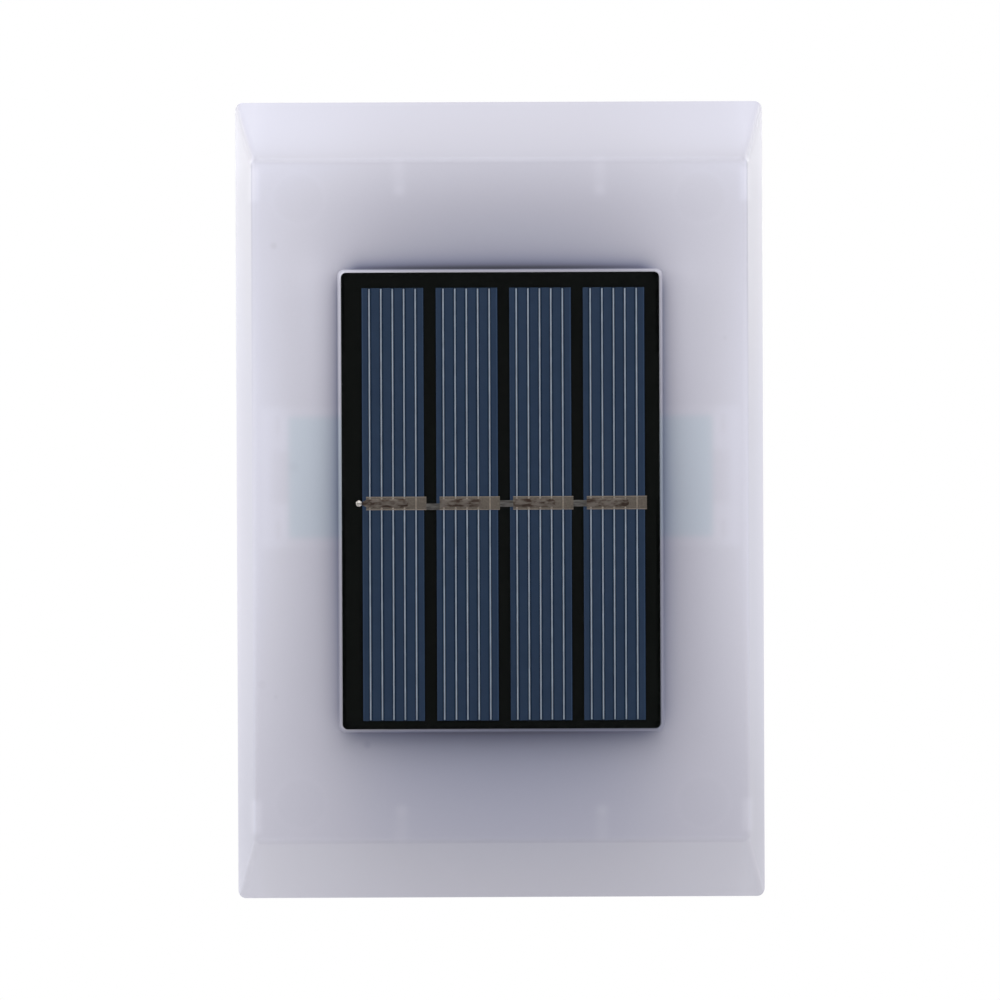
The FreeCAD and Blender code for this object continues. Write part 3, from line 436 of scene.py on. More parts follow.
@dataclass(frozen=True)
class WovenLaminate(Finish):
    """Epoxy on woven glass: the weave shows as a faint crossing of threads."""

    def pattern(self, skin: Skin) -> Field:
        """Draw the crossing threads.

        Args:
            skin: The material in the making.

        Returns:
            0 in the dark colour and 1 in the light one.
        """
        turn = math.tau / self.grain
        threads = (skin.x * turn).step("SINE") * (skin.z * turn).step("SINE")
        return threads * 0.5 + 0.5


@dataclass(frozen=True)
class SolderMask(Finish):
    """Green lacquer over copper: the tracks under it show lighter."""

    track: float = 0.45

    def pattern(self, skin: Skin) -> Field:
        """Draw upright and level tracks in patches.

        Args:
            skin: The material in the making.

        Returns:
            0 in the dark colour and 1 in the light one.
        """
        noise = add_node(skin.tree, "ShaderNodeTexNoise", None,
                         {"Vector": skin.place, "Scale": 0.25 / self.grain, "Detail": 0.0})
        patch = Field(noise.outputs["Fac"]).rise(0.5, 0.004)
        rows = []
        for along in (skin.x, skin.z):
            off = along.step("PINGPONG", self.grain / 2)
            rows.append(off.fall(self.track / 2, 0.03))
        return rows[0] * patch + rows[1] * (-patch + 1.0)


@dataclass(frozen=True)
class CoatedWafer(Finish):
    """Silicon with a blue antireflective coat.

    Each printed finger has a painted shadow beside it, and a painted highlight
    lightens the strip's cut edges.
    """

    # Colours of the painted shadow beside the fingers and of the painted highlight at the cut
    # edges.
    finger_shadow: str = "142234"
    rim: str = "30405A"
    left: float = 0.0
    pitch: float = 1.0
    width: float = 1.0
    fingers: tuple[float, ...] = ()
    finger_shadow_reach: float = 0.36
    edge_highlight_width: float = 0.2

    def colour(self, skin: Skin, pattern: Field) -> bpy.types.NodeSocket:
        """Colour the strip, with a painted shadow beside each finger and a painted highlight at its
        edges.

        Args:
            skin: The material in the making.
            pattern: What pattern() drew.

        Returns:
            The socket of the base colour.
        """
        along = (skin.x - self.left).step("FLOORED_MODULO", self.pitch)
        off = abs(along - self.fingers[0])
        for finger in self.fingers[1:]:
            off = off.most(abs(along - finger))
        inner = abs(along - self.width / 2)
        # Painted shadow beside each finger, painted highlight along the strip's cut edges.
        beside = off.fall(self.finger_shadow_reach, 0.04)
        edge = inner.rise(self.width / 2 - self.edge_highlight_width, 0.03)
        coat = super().colour(skin, pattern)
        finger_shadows = add_node(skin.tree, "ShaderNodeMix", {"data_type": "RGBA"},
                           {0: beside, 6: coat, 7: linear(self.finger_shadow)})
        rims = add_node(skin.tree, "ShaderNodeMix", {"data_type": "RGBA"},
                        {0: edge, 6: finger_shadows.outputs[2], 7: linear(self.rim)})
        return rims.outputs[2]


@dataclass(frozen=True)
class StreakedMetal(Finish):
    """Metal that was drawn or wiped one way: long soft streaks."""

    stretch: Place = (1.0, 1.0, 1.0)

    def pattern(self, skin: Skin) -> Field:
        """Draw streaks along the stretched way.

        Args:
            skin: The material in the making.

        Returns:
            0 in the dark colour and 1 in the light one.
        """
        longer = add_node(skin.tree, "ShaderNodeVectorMath", {"operation": "DIVIDE"},
                          {0: skin.place, 1: self.stretch})
        noise = add_node(skin.tree, "ShaderNodeTexNoise", None,
                         {"Vector": longer.outputs[0], "Scale": 1 / self.grain, "Detail": 3.0})
        return Field(noise.outputs["Fac"]).rise(0.5, 0.05)


@dataclass(frozen=True)
class WoundDrum(Finish):
    """Ferrite drum with enamelled copper wire between its two flanges."""

    wire: str = "8A4B25"
    turns: Span = (0.0, 1.0)   # depths between the flanges
    ferrite_grain: float = 0.5

    def pattern(self, skin: Skin) -> Field:
        """Draw the turns of the wire."""
        return (skin.depth * (math.tau / self.grain)).step("SINE") * 0.5 + 0.5

    def colour(self, skin: Skin, pattern: Field) -> bpy.types.NodeSocket:
        """Colour the wire and the flanges.

        Args:
            skin: The material in the making.
            pattern: What pattern() drew.

        Returns:
            The socket of the base colour.
        """
        wound = skin.depth.rise(self.turns[0], 0.02) * skin.depth.fall(self.turns[1], 0.02)
        noise = add_node(skin.tree, "ShaderNodeTexNoise", None,
                         {"Vector": skin.place, "Scale": 1 / self.ferrite_grain})
        ferrite = super().colour(skin, Field(noise.outputs["Fac"]))
        mixed = add_node(skin.tree, "ShaderNodeMix", {"data_type": "RGBA"},
                         {0: wound * (pattern * 0.5 + 0.5), 6: ferrite, 7: linear(self.wire)})
        return mixed.outputs[2]


@dataclass(frozen=True)
class ShrinkSleeve(Finish):
    """Shrunk vinyl sleeve on a steel can: bare steel past the sleeve's two ends."""

    steel: str = "A6A7A8"
    sleeve: Span = (0.0, 1.0)  # X of the sleeve's ends

    def colour(self, skin: Skin, pattern: Field) -> bpy.types.NodeSocket:
        """Colour the sleeve and the bare ends.

        Args:
            skin: The material in the making.
            pattern: What pattern() drew.

        Returns:
            The socket of the base colour.
        """
        covered = skin.x.rise(self.sleeve[0], 0.05) * skin.x.fall(self.sleeve[1], 0.05)
        mixed = add_node(skin.tree, "ShaderNodeMix", {"data_type": "RGBA"},
                         {0: covered, 6: linear(self.steel), 7: super().colour(skin, pattern)})
        return mixed.outputs[2]


@dataclass(frozen=True)
class ClearSheet(Finish):
    """Clear polyester sheet: hardly any colour, so the gaps under it stay black."""

    cover: float = 0.02

    def material(self) -> bpy.types.Material:
        """Make the material, see-through but for a thin haze.

        Returns:
            A material of the finish's name.
        """
        made = super().material()
        made.node_tree.nodes["Principled BSDF"].inputs["Alpha"].default_value = self.cover
        return made


class Shape:
    """A mesh in the making, from points given as x, depth and z in millimetres."""

    def __init__(self) -> None:
        """Start with an empty mesh."""
        self.mesh = bmesh.new()

    @staticmethod
    def place(point: Place) -> Vector:
        """Turn a point's x, depth and z into Blender's place in metres."""
        return Vector((point[0], -point[1], point[2])) * MM

    def plate(self, xs: Span, depths: Span, zs: Span, edge: float) -> "Shape":
        """Add a plate with broken edges.

        Args:
            xs: Its left and right sides.
            depths: Its back and front.
            zs: Its bottom and top.
            edge: How far each edge is broken.

        Returns:
            The shape itself.
        """
        low = self.place((xs[0], depths[1], zs[0]))
        high = self.place((xs[1], depths[0], zs[1]))
        corners = bmesh.ops.create_cube(self.mesh, size=1.0)["verts"]
        for corner in corners:
            corner.co = Vector([low[i] + (corner.co[i] + 0.5) * (high[i] - low[i])
                                for i in range(3)])
        edges = list({e for corner in corners for e in corner.link_edges})
        bmesh.ops.bevel(self.mesh, geom=edges, offset=edge * MM, segments=2, profile=0.6,
                        affect="EDGES", clamp_overlap=True)
        return self

    def loft(self, rings: Sequence[Sequence[Place]]) -> "Shape":
        """Add a closed skin through rings of points.

        Args:
            rings: Rings with as many points each, from one end to the other.

        Returns:
            The shape itself.
        """
        rows = [[self.mesh.verts.new(self.place(point)) for point in ring] for ring in rings]
        for near, far in zip(rows, rows[1:]):
            for i, vert in enumerate(near):
                after = (i + 1) % len(near)
                self.mesh.faces.new((vert, near[after], far[after], far[i]))
        self.mesh.faces.new(rows[0])
        self.mesh.faces.new(rows[-1])
        return self

    def lathe(self, profile: Sequence[Span], axis: Span, steps: int) -> "Shape":
        """Add a body turned about an axis that runs along the depth.

        Args:
            profile: Radius and depth of each point, from one end to the other.
            axis: X and Z of the axis.
            steps: How many sides the body has.

        Returns:
            The shape itself.
        """
        angles = [math.tau * i / steps for i in range(steps)]
        return self.loft([[(axis[0] + radius * math.cos(a), depth, axis[1] + radius * math.sin(a))
                           for a in angles] for radius, depth in profile])

    def piece(self, name: str, node: str, slot: str, body: str = "housing") -> bpy.types.Object:
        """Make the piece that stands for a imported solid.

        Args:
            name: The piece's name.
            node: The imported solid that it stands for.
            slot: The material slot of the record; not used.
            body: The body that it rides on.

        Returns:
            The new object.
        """
        bmesh.ops.recalc_face_normals(self.mesh, faces=self.mesh.faces[:])
        data = bpy.data.meshes.new(name)
        self.mesh.to_mesh(data)
        self.mesh.free()
        data.shade_smooth()
        data.set_sharp_from_angle(angle=SHARP_ANGLE)
        made = bpy.data.objects.new(name, data)
        bpy.context.scene.collection.objects.link(made)
        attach(made, body)
        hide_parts(node)
        LOG.info("built %s for %s", name, node)
        return made


def millimetres(node: str) -> tuple[Place, Place]:
    """Lowest x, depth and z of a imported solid, and its highest."""
    low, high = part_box(node)
    return ((low.x / MM, -high.y / MM, low.z / MM), (high.x / MM, -low.y / MM, high.z / MM))


def centre(node: str) -> Span:
    """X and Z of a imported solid's middle."""
    low, high = millimetres(node)
    return (low[0] + high[0]) / 2, (low[2] + high[2]) / 2


def wear(finish: Finish, *pieces: str | bpy.types.Object) -> None:
    """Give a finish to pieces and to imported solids.

    Args:
        finish: What their surface is.
        pieces: New pieces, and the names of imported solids.
    """
    material = finish.material()
    for piece in pieces:
        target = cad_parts[piece] if isinstance(piece, str) else piece
        target.data.materials.clear()
        target.data.materials.append(material)
        LOG.info("dressed %s in %s", target.name, finish.name)


class SubAssembly:
    """Pieces that are built and dressed together."""

    def build(self) -> None:
        """Make the meshes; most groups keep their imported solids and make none."""

    def dress(self) -> None:
        """Give every piece of the group its finish."""
        raise NotImplementedError


@dataclass
class Housing(SubAssembly):
    """Front and rear covers with the gasket between them."""

    rim_half: Span = (49.0, 74.0)
    rim_depth: float = 4.0
    face_half: Span = (45.0, 62.0)
    plinth_half: Span = (29.3, 41.8)
    plinth_corner: float = 4.55
    plinth_depths: Span = (27.9, 30.6)
    wall_slope: float = 3.0    # how much further the end walls lean out than the side walls
    boss: Span = (36.5, 54.9)
    boss_radius: float = 4.7
    seen_in: float = 0.985     # pieces 14 mm down look this much nearer the middle
    specks: tuple[tuple[Span, float, float], ...] = (
        ((-41.0, 46.3), 0.55, -0.08), ((-43.4, -33.3), 0.7, -0.04), ((-40.9, -35.5), 0.3, -0.06),
        ((40.8, 29.3), 0.25, -0.07), ((-24.4, -44.3), 0.6, -0.10))
    # Painted light and shade of the front cover, fitted to how bright the real cover is at each
    # place:
    # painted glow from the edges, a painted shadow round the plinth's foot, and painted light on
    # the walls, lip and plinth.
    face_level: float = 0.627
    face_drift: Drift = Drift(1.0, x=-0.0006, z=0.002, zz=-0.0000887)
    top_edge: Fading = Fading(0.208, 6.06)
    bottom_edge: Fading = Fading(0.239, 12.5)
    side_edge: Fading = Fading(0.061, 2.84)
    under_fold: Span = (58.5, 5.0)
    under_top: Drift = Drift(0.06, xx=-0.00003)
    foot: Fading = Fading(1.0, 1.244)
    foot_squeeze: float = 1.13
    foot_depth: Span = (28.0, 0.5)
    foot_glow: float = 0.55    # how far light from the plinth reaches across its painted shadow
    foot_drift: Drift = Drift(0.619, z=0.0044)
    shade_widths: Span = (6.57, 19.0)
    shade_drift: Drift = Drift(1.018, z=-0.0015)
    brink: Span = (34.0, 3.0)
    brink_ends: Span = (43.0, 2.0)
    brink_drift: Drift = Drift(0.02, x=-0.0005)
    side_drift: Drift = Drift(0.022, x=-0.0007, z=-0.0041, zz=-0.0000179)
    side_rim: Fading = Fading(0.16, 1.6)
    rim_band: float = 0.12
    end_drift: Drift = Drift(0.02, z=-0.00113)
    end_middle: Drift = Drift(1.0, xx=-0.00077)
    top_gain: float = 0.035
    top_middle: float = 0.04
    bottom_middle: float = 0.02
    wall_run: float = 4.0
    fold_reach: float = 0.8
    mitre_gain: float = -0.21
    plinth_drift: Drift = Drift(0.12, x=-0.003, z=0.005)
    lip_drift: Drift = Drift(0.15, x=-0.007, z=0.001)

    def face_glow(self, skin: Skin) -> Field:
        """Painted light and shade held by the front cover, from 0 to 1."""
        held = self.edge_light(skin) * (-self.panel_shade(skin) + 1.0)
        return held * (self.wall_gain(skin) + self.plinth_gain(skin) + 1.0)

    def edge_light(self, skin: Skin) -> Field:
        """Painted light from the face's edges that fades towards its middle.

        Args:
            skin: The cover's material.

        Returns:
            The painted light, before anything keeps it out.
        """
        side, top = self.face_half
        level = skin.z.most(top).least(-top)
        held = self.top_edge.at(level - top) + self.bottom_edge.at(-level - top)
        held = held + self.side_edge.at((abs(skin.x) - side).most(0.0)) + self.face_level
        # Painted lighter towards the top, and lighter again in a band under the top fold.
        held = held * self.face_drift.over(skin.x, level)
        return held * (skin.z.hump(*self.under_fold) * self.under_top.over(skin.x, skin.z) + 1.0)

    def panel_shade(self, skin: Skin) -> Field:
        """Painted shade: the share of light that the panel keeps out, most at the plinth's foot.

        Args:
            skin: The cover's material.

        Returns:
            The share, 0 where nothing is kept out.
        """
        wide, tall, inset = abs(skin.x), abs(skin.z), self.plinth_corner
        away_x = (wide - (self.plinth_half[0] - inset)).least(0.0) * self.foot_squeeze
        away_z = (tall - (self.plinth_half[1] - inset)).least(0.0)
        away = (away_x.reach(away_z) - inset).least(self.foot_glow)
        # A painted shadow hugs the plinth's foot, and a broad painted shade spreads round the
        # panel.
        foot = self.foot.at(-away) * self.foot_drift.over(skin.x, skin.z)
        foot = foot * skin.depth.fall(*self.foot_depth)
        shade = wide.fall(self.plinth_half[0], self.shade_widths[0])
        shade = shade * tall.fall(self.plinth_half[1], self.shade_widths[1])
        shade = shade * self.shade_drift.over(skin.x, skin.z)
        # Just past the foot the sides get painted light again, most of all in the upper half.
        gain = skin.z.rise(15.0, 8.0) * 0.055 + self.brink_drift.over(skin.x, skin.z)
        return foot + shade - wide.hump(*self.brink) * tall.fall(*self.brink_ends) * gain

    def wall_gain(self, skin: Skin) -> Field:
        """Painted light and shade that the walls' slopes add, 0 on the face.

        Args:
            skin: The cover's material.

        Returns:
            The share that they add.
        """
        x, z = skin.x, skin.z
        beyond = abs(x) - self.face_half[0]
        above = (abs(z) - self.face_half[1]) / self.wall_slope
        turned, top = (beyond - above).rise(0.0, 0.1), z.rise(0.0, 1.0)
        # The side walls' painted light, with a painted lighter band at the rim that turns darker
        # near the back.
        rim = self.side_rim.at(abs(x) - self.rim_half[0])
        rim = rim - skin.depth.fall(self.rim_depth, 0.15) * self.rim_band
        gain = turned * beyond.rise(-0.1, 0.12) * (self.side_drift.over(x, z) + rim)
        # The top and bottom walls' painted light and shade, the top one painted darker just past
        # its fold.
        middle = self.end_middle.over(x, z)
        fold = (-above.most(self.wall_run) / self.fold_reach).exp() * (abs(x) * 0.0015 + 0.09)
        ends = self.end_drift.over(x, z) + top * (middle * self.top_middle - fold + self.top_gain)
        ends = ends - (-top + 1.0) * middle * self.bottom_middle
        gain = gain + (-turned + 1.0) * above.rise(-0.18, 0.07) * ends
        # The fillets turn through the light, so painted shade takes out the bright lines they would
        # draw at the mitres, and a painted highlight runs along the face's side edges.
        corner = beyond.rise(-0.1, 0.1) * above.rise(-0.1, 0.1) * top
        mitre = (beyond - above).hump(0.12, 0.5) * corner * self.mitre_gain
        edge_gain = z.rise(50.0, 4.0) * 0.07 + 0.05
        return gain + mitre + beyond.hump(-0.2, 0.3) * above.fall(0.0, 0.2) * edge_gain

    def plinth_gain(self, skin: Skin) -> Field:
        """Painted light that the plinth's wall and its lip add, more to the left and top.

        Args:
            skin: The cover's material.

        Returns:
            The share that they add.
        """
        wall = skin.depth.rise(self.plinth_depths[0], 0.1)
        lip = skin.depth.rise(self.plinth_depths[1], 0.3)
        x, z = skin.x, skin.z
        return wall * self.plinth_drift.over(x, z) + lip * self.lip_drift.over(x, z)

    def back_glow(self, skin: Skin) -> Field:
        """Painted light held by the rear cover, brighter towards its rim.

        Args:
            skin: The cover's material.

        Returns:
            Its brightness, from 0 to 1.
        """
        wide, tall = abs(skin.x), abs(skin.z)
        rim = ((wide - self.rim_half[0]) / 9.0).exp() + ((tall - self.rim_half[1]) / 9.0).exp()
        return rim * 0.16 + 0.55

    def face_ghosts(self) -> tuple[Ghost, ...]:
        """Pieces that show through the front cover as painted light and shade, and specks of dust
        in it.

        Returns:
            Their ghosts, painted brighter or darker than the wall.
        """
        carrier_low, carrier_high = millimetres("board_carrier")
        level = centre("main_board")[1]
        half = carrier_high[0] * self.seen_in
        band = (carrier_high[2] - carrier_low[2]) / 2 * self.seen_in
        carrier = Ghost((41.0, 0.0), (half - 41.0, band), 0.06, centre_z=level, blur=0.35)
        rail = Ghost((0.0, band - 0.85), (38.6, 0.85), 0.03, centre_z=level)
        tongue = Ghost((40.0, 0.0), (1.6, 4.7), -0.04, centre_z=level, blur=0.35)
        bar = Ghost((39.2, 8.0), (0.75, 3.1), 0.02, centre_z=level)
        notch = Ghost((40.4, 9.5), (0.4, 1.6), -0.04, centre_z=level)
        part = Ghost((-37.6, 6.2), (0.8, 0.8), -0.05, Mirrored.NOT)
        boss = Ghost(self.boss, (self.boss_radius, 0.3), 0.02, outline=Outline.RING)
        pad = Ghost(self.boss, (self.boss_radius, 0.0), -0.01, outline=Outline.DISC)
        end_rib = Ghost((18.2, 58.6), (1.0, 3.3), 0.06, blur=0.35)
        rib_tip = Ghost((18.2, 56.3), (0.9, 0.8), 0.05)
        side_rib = Ghost((44.7, 57.3), (1.0, 3.0), 0.10)
        specks = [Ghost(place, (size, 0.0), gain, Mirrored.NOT, Outline.DISC, 0.12)
                  for place, size, gain in self.specks]
        return (carrier, rail, tongue, bar, notch, part, boss, pad, end_rib, rib_tip, side_rib,
                *specks)

    def board_ghost(self) -> Ghost:
        """The green board behind the front cover.

        Returns:
            Its ghost, which marks where the painted light is tinted.
        """
        low, high = millimetres("main_board")
        half = (38.4, (high[2] - low[2]) / 2 * self.seen_in)
        return Ghost((0.0, centre("main_board")[1]), half, 0.0, Mirrored.SIDES, blur=0.3)

    def back_ghosts(self) -> tuple[Ghost, ...]:
        """Pieces that show through the rear cover as painted light and shade.

        Returns:
            Their ghosts, painted brighter or darker than the wall.
        """
        ghosts = []
        for node, gain in (("board_carrier", 0.04), ("battery_holder", 0.05),
                           ("battery_cell", -0.10)):
            low, high = millimetres(node)
            half = ((high[0] - low[0]) / 2, (high[2] - low[2]) / 2)
            ghosts.append(Ghost(centre(node), half, gain, Mirrored.NOT, blur=0.4))
        ghosts.append(Ghost(self.boss, (self.boss_radius, 0.0), 0.03, outline=Outline.DISC,
                            blur=0.3))
        return tuple(ghosts)

    def dress(self) -> None:
        """Dress the covers and the gasket."""
        # Polycarbonate, IOR 1.58, with the satin of a spark-eroded tool. Its real
        # grain is 0.05 mm and can't show, so it is drawn 12 times as coarse.
        # Its colour is the painted light and shade of face_glow and of the ghosts.
        wear(MilkyPolycarbonate("milky_polycarbonate_front", "000000", "FFFFFF", 0.42, 0.6, 0.004,
                                glow=self.face_glow, ghosts=self.face_ghosts(),
                                board=self.board_ghost()),
             "front_cover")
        # The same polycarbonate from a coarser tool, so that the back looks duller, its colour
        # again painted light and shade.
        wear(MilkyPolycarbonate("milky_polycarbonate_rear", "000000", "FFFFFF", 0.55, 0.8, 0.010,
                                glow=self.back_glow, ghosts=self.back_ghosts()),
             "rear_cover")
        # Silicone rubber, compression moulded: dull, with fine dust in its skin.
        wear(Finish("silicone_gasket", "2E2E30", "3A3A3C", 0.7, 0.5, 0.01), "cover_gasket")


@dataclass
class RearFixings(SubAssembly):
    """Screws of the case, the board carrier and the battery holder."""

    ring_pitch: float = 0.35   # turning marks are 0.1 mm apart, drawn coarser to show
    case_axis: Span = (36.5, 54.9)
    carrier_axis: Span = (25.0, 0.0)
    holder_axis: Span = (15.0, 0.0)

    def dress(self) -> None:
        """Dress each set of screws with rings round its own axes."""
        for node, axis in (("case_screws", self.case_axis), ("carrier_screws", self.carrier_axis),
                           ("holder_screws", self.holder_axis)):
            # Zinc-plated steel, turned: bluish grey with a soft ringed glint.
            wear(TurnedSteel("zinc_plated_" + node, "8C8E91", "B4B7BA", 0.34, self.ring_pitch,
                             0.01, 1.0, axis=axis, level=centre(node)[1]), node)


@dataclass
class SolarPanel(SubAssembly):
    """The raised panel: backing, cell strips, printed fingers, solder and film."""

    strips: int = 4
    pitch: float = 13.25
    strip_width: float = 11.2
    strip_trims: tuple[Span, ...] = ((0.04, 0.09), (0.14, 0.0), (0.14, 0.0), (0.14, 0.03))
    strip_edge: float = 0.04
    fingers: tuple[float, ...] = (1.42, 3.54, 5.61, 7.65, 9.73)
    finger_shifts: tuple[float, ...] = (-0.05, 0.03, -0.04, 0.04)
    finger_width: float = 0.25
    finger_inset: float = 0.15
    finger_depths: Span = (33.19, 33.24)
    print_depths: Span = (33.19, 33.225)
    ridge_depths: Span = (33.21, 33.245)
    print_edge: float = 0.01
    pad_inset: float = 0.7
    pad_overhang: float = 0.35
    pool_half_height: float = 0.76
    pool_end: float = 8.35     # from the strip's left edge
    pool_rise: float = 0.09
    pool_limit: float = 33.34  # just behind the film
    tip_radius: float = 0.62
    dot_radius: float = 0.2
    dot_inset: float = 0.3
    dot_depth: float = 33.21
    dot_rise: float = 0.12
    ribbon_width: float = 1.15
    ribbon_drops: Place = (0.63, 0.1, 0.1)

    def left(self, index: int) -> float:
        """Left edge of a strip, counted from the left."""
        return millimetres("solar_cells")[0][0] + index * self.pitch

    def build(self) -> None:
        """Make the strips with their prints, the solder, the ribbons and the bead."""
        cell_low, cell_high = millimetres("solar_cells")
        pad_low, pad_high = millimetres("busbar_pads")
        self.made: dict[str, list[bpy.types.Object]] = {}
        for index in range(self.strips):
            left, trim = self.left(index), self.strip_trims[index]
            right = left + self.strip_width
            strip = Shape().plate((left + trim[0], right - trim[1]), (cell_low[1], cell_high[1]),
                                  (cell_low[2], cell_high[2]), self.strip_edge)
            pads = (pad_low[2], pad_high[2])
            ends = (left + self.pad_inset, right + self.pad_overhang)
            below = (cell_low[2] + self.finger_inset, pads[0])
            beyond = (pads[1], cell_high[2] - self.finger_inset)
            lines, half = Shape(), self.finger_width / 2
            for finger in self.fingers:
                x = left + finger + self.finger_shifts[index]
                for span in (below, beyond):
                    lines.plate((x - half, x + half), self.finger_depths, span, self.print_edge)
            pad = Shape().plate(ends, self.print_depths, pads, self.print_edge)
            ridges = Shape().plate((x - half, x + half), self.ridge_depths, pads, self.print_edge)
            for z in (pads[0] + half / 2, pads[1] - half / 2):
                ridges.plate(ends, self.ridge_depths, (z - half / 2, z + half / 2),
                             self.print_edge)
            pool, dots = self.solder_pool(index, sum(pads) / 2), self.solder_dots(index, pads)
            for kind, shape, node, slot in (
                    ("cell_strip", strip, "solar_cells", "silicon"),
                    ("cell_fingers", lines, "solar_cells", "tinned_solder"),
                    ("busbar_print", pad, "busbar_pads", "tinned_solder"),
                    ("busbar_ridges", ridges, "busbar_pads", "tinned_solder"),
                    ("solder_pool", pool, "busbar_pads", "tinned_solder"),
                    ("solder_dots", dots, "busbar_pads", "tinned_solder")):
                made = shape.piece("%s_%d" % (kind, index + 1), node, slot)
                self.made.setdefault(kind, []).append(made)
        self.ribbon = self.ribbons().piece("bridging_ribbons", "cell_ribbons", "tinned_solder")
        self.bead = self.solder_bead().piece("solder_bead", "solder_tip", "tinned_solder")

    def solder_pool(self, index: int, middle: float) -> Shape:
        """Low pool of solder that covers a pad's left two thirds.

        Args:
            index: Which strip it lies on.
            middle: Height of its middle line.

        Returns:
            The pool's shape, with a tapered start on the first strip.
        """
        start = self.left(index) + (0.0 if index == 0 else self.pad_inset)
        end = self.left(index) + self.pool_end
        base = self.print_depths[1] - 0.01
        rings = []
        steps, points = 44, 14
        for step in range(steps + 1):
            share = step / steps
            x = start + share * (end - start)
            nose = math.sqrt(max(0.0, 1.0 - max(0.0, (share - 0.9) / 0.1) ** 2))
            tail = min(1.0, 0.35 + share * 5.0) if index == 0 else 1.0
            wave = (1.0 + 0.07 * math.sin(9.0 * share + 2.1 * index)
                    + 0.04 * math.sin(23.0 * share + index))
            half = max(0.04, self.pool_half_height * nose * tail * wave)
            ripple = 1.0 + 0.25 * math.sin(31.0 * share + 1.7 * index)
            height = self.pool_rise * ripple * nose
            rings.append([(x, min(base + height * math.sin(a) ** 0.6, self.pool_limit),
                           middle + half * math.cos(a))
                          for a in (math.pi * i / points for i in range(points + 1))])
        return Shape().loft(rings)

    def solder_dots(self, index: int, pad: Span) -> Shape:
        """Dots of solder where the pool has run up the first four fingers.

        Args:
            index: Which strip they lie on.
            pad: Bottom and top of the pads.

        Returns:
            The dots' shape.
        """
        shape = Shape()
        for finger in self.fingers[:-1]:
            for z in (pad[0] + self.dot_inset, pad[1] - self.dot_inset):
                axis = (self.left(index) + finger + self.finger_shifts[index], z)
                dome = [(self.dot_radius * math.cos(a),
                         self.dot_depth + self.dot_rise * math.sin(a))
                        for a in (math.pi / 2 * i / 4 for i in range(4))]
                shape.lathe([*dome, (0.01, self.dot_depth + self.dot_rise)], axis, 12)
        return shape

    def ribbons(self) -> Shape:
        """Flat tinned ribbons that bridge the gaps, each with a shallow crown.

        Returns:
            The three ribbons' shape.
        """
        shape = Shape()
        low, high = millimetres("cell_ribbons")
        half = self.ribbon_width / 2
        middle = high[2] - half + min(self.ribbon_drops)
        for index, drop in enumerate(self.ribbon_drops):
            start = self.left(index) + self.strip_width + self.pad_overhang
            end = self.left(index + 1) + self.pad_inset
            z = middle - drop
            rings = []
            for step in range(9):
                x = start + (end - start) * step / 8
                crown = 0.03 * math.sin(math.pi * step / 8)
                rings.append([(x, low[1] + 0.04 + crown + 0.03 * math.sin(a),
                               z + half * math.copysign(abs(math.cos(a)) ** 0.4, math.cos(a)))
                              for a in (math.tau * i / 20 for i in range(20))])
            shape.loft(rings)
        return shape

    def solder_bead(self) -> Shape:
        """Round bead of solder at the left end, with a domed top.

        Returns:
            The bead's shape.
        """
        low, high = millimetres("solder_tip")
        dome = [(self.tip_radius * math.cos(a), low[1] + 0.02 + (high[1] - low[1]) * math.sin(a))
                for a in (math.pi / 2 * i / 8 for i in range(8))]
        profile = [(self.tip_radius, low[1] + 0.01), *dome, (0.02, high[1] + 0.02)]
        return Shape().lathe(profile, centre("solder_tip"), 28)

    def dress(self) -> None:
        """Dress the panel from its backing to its film."""
        # Glass-epoxy board with black lacquer: near black, its 0.5 mm weave barely there.
        wear(WovenLaminate("black_glass_epoxy", "0A0C0B", "0D0F0E", 0.6, 0.5, 0.002, shine=0.03),
             "panel_board")
        # Black acrylic foam tape, cut: soft and pitted by cells 0.3 mm wide.
        wear(FoamTape("black_foam_tape", "0C0C0C", "232323", 0.8, 0.3, 0.03), "panel_adhesive")
        # Silicon wafer with a blue nitride coat: even, deep and hardly shiny, with painted shadows
        # beside the fingers and a painted highlight at the cut edges.
        wear(CoatedWafer("coated_silicon", "263347", "2A384C", 0.35, 3.0, 0.0005, shine=0.03,
                         left=self.left(0), pitch=self.pitch, width=self.strip_width,
                         fingers=self.fingers), *self.made["cell_strip"])
        # Silver paste, screen printed and fired: pale grey lines that hold the blue.
        wear(StreakedMetal("fired_silver_fingers", "8F98A4", "A5AFBB", 0.75, 0.4, 0.002, 1.0,
                           stretch=(1.0, 1.0, 6.0)), *self.made["cell_fingers"])
        # The same paste on the pads, stained brown by the soldering flux.
        wear(Finish("fluxed_silver_pads", "4E4741", "7C756D", 0.6, 0.35, 0.01, 1.0),
             *self.made["busbar_print"])
        # The paste heaped at the pads' rims and over the last finger, lighter than the pads.
        wear(Finish("lighter_silver_ridges", "645C54", "A59A8E", 0.5, 0.3, 0.01, 1.0),
             *self.made["busbar_ridges"], *self.made["solder_dots"])
        # Tin solder, hand laid: brown flux dried over dull grey metal, in streaks.
        wear(StreakedMetal("hand_laid_solder", "3B2F29", "726B65", 0.4, 0.5, 0.02, 1.0,
                           stretch=(3.0, 1.0, 1.0)), *self.made["solder_pool"])
        # Copper ribbon, hot tinned: plain grey with a fine drawn streak.
        wear(StreakedMetal("tinned_ribbon", "4A4846", "6B6967", 0.4, 0.2, 0.01, 1.0,
                           stretch=(8.0, 1.0, 1.0)), self.ribbon)
        # Tin solder left to cool as a ball: bright and smooth.
        wear(Finish("bright_solder", "827C76", "E4E0DC", 0.22, 0.5, 0.03, 1.0), self.bead)
        # Clear polyester sheet, laminated: a thin haze over the cells.
        wear(ClearSheet("clear_polyester", "000000", "020303", 0.3, 2.0, 0.001, shine=0.0),
             "panel_film")


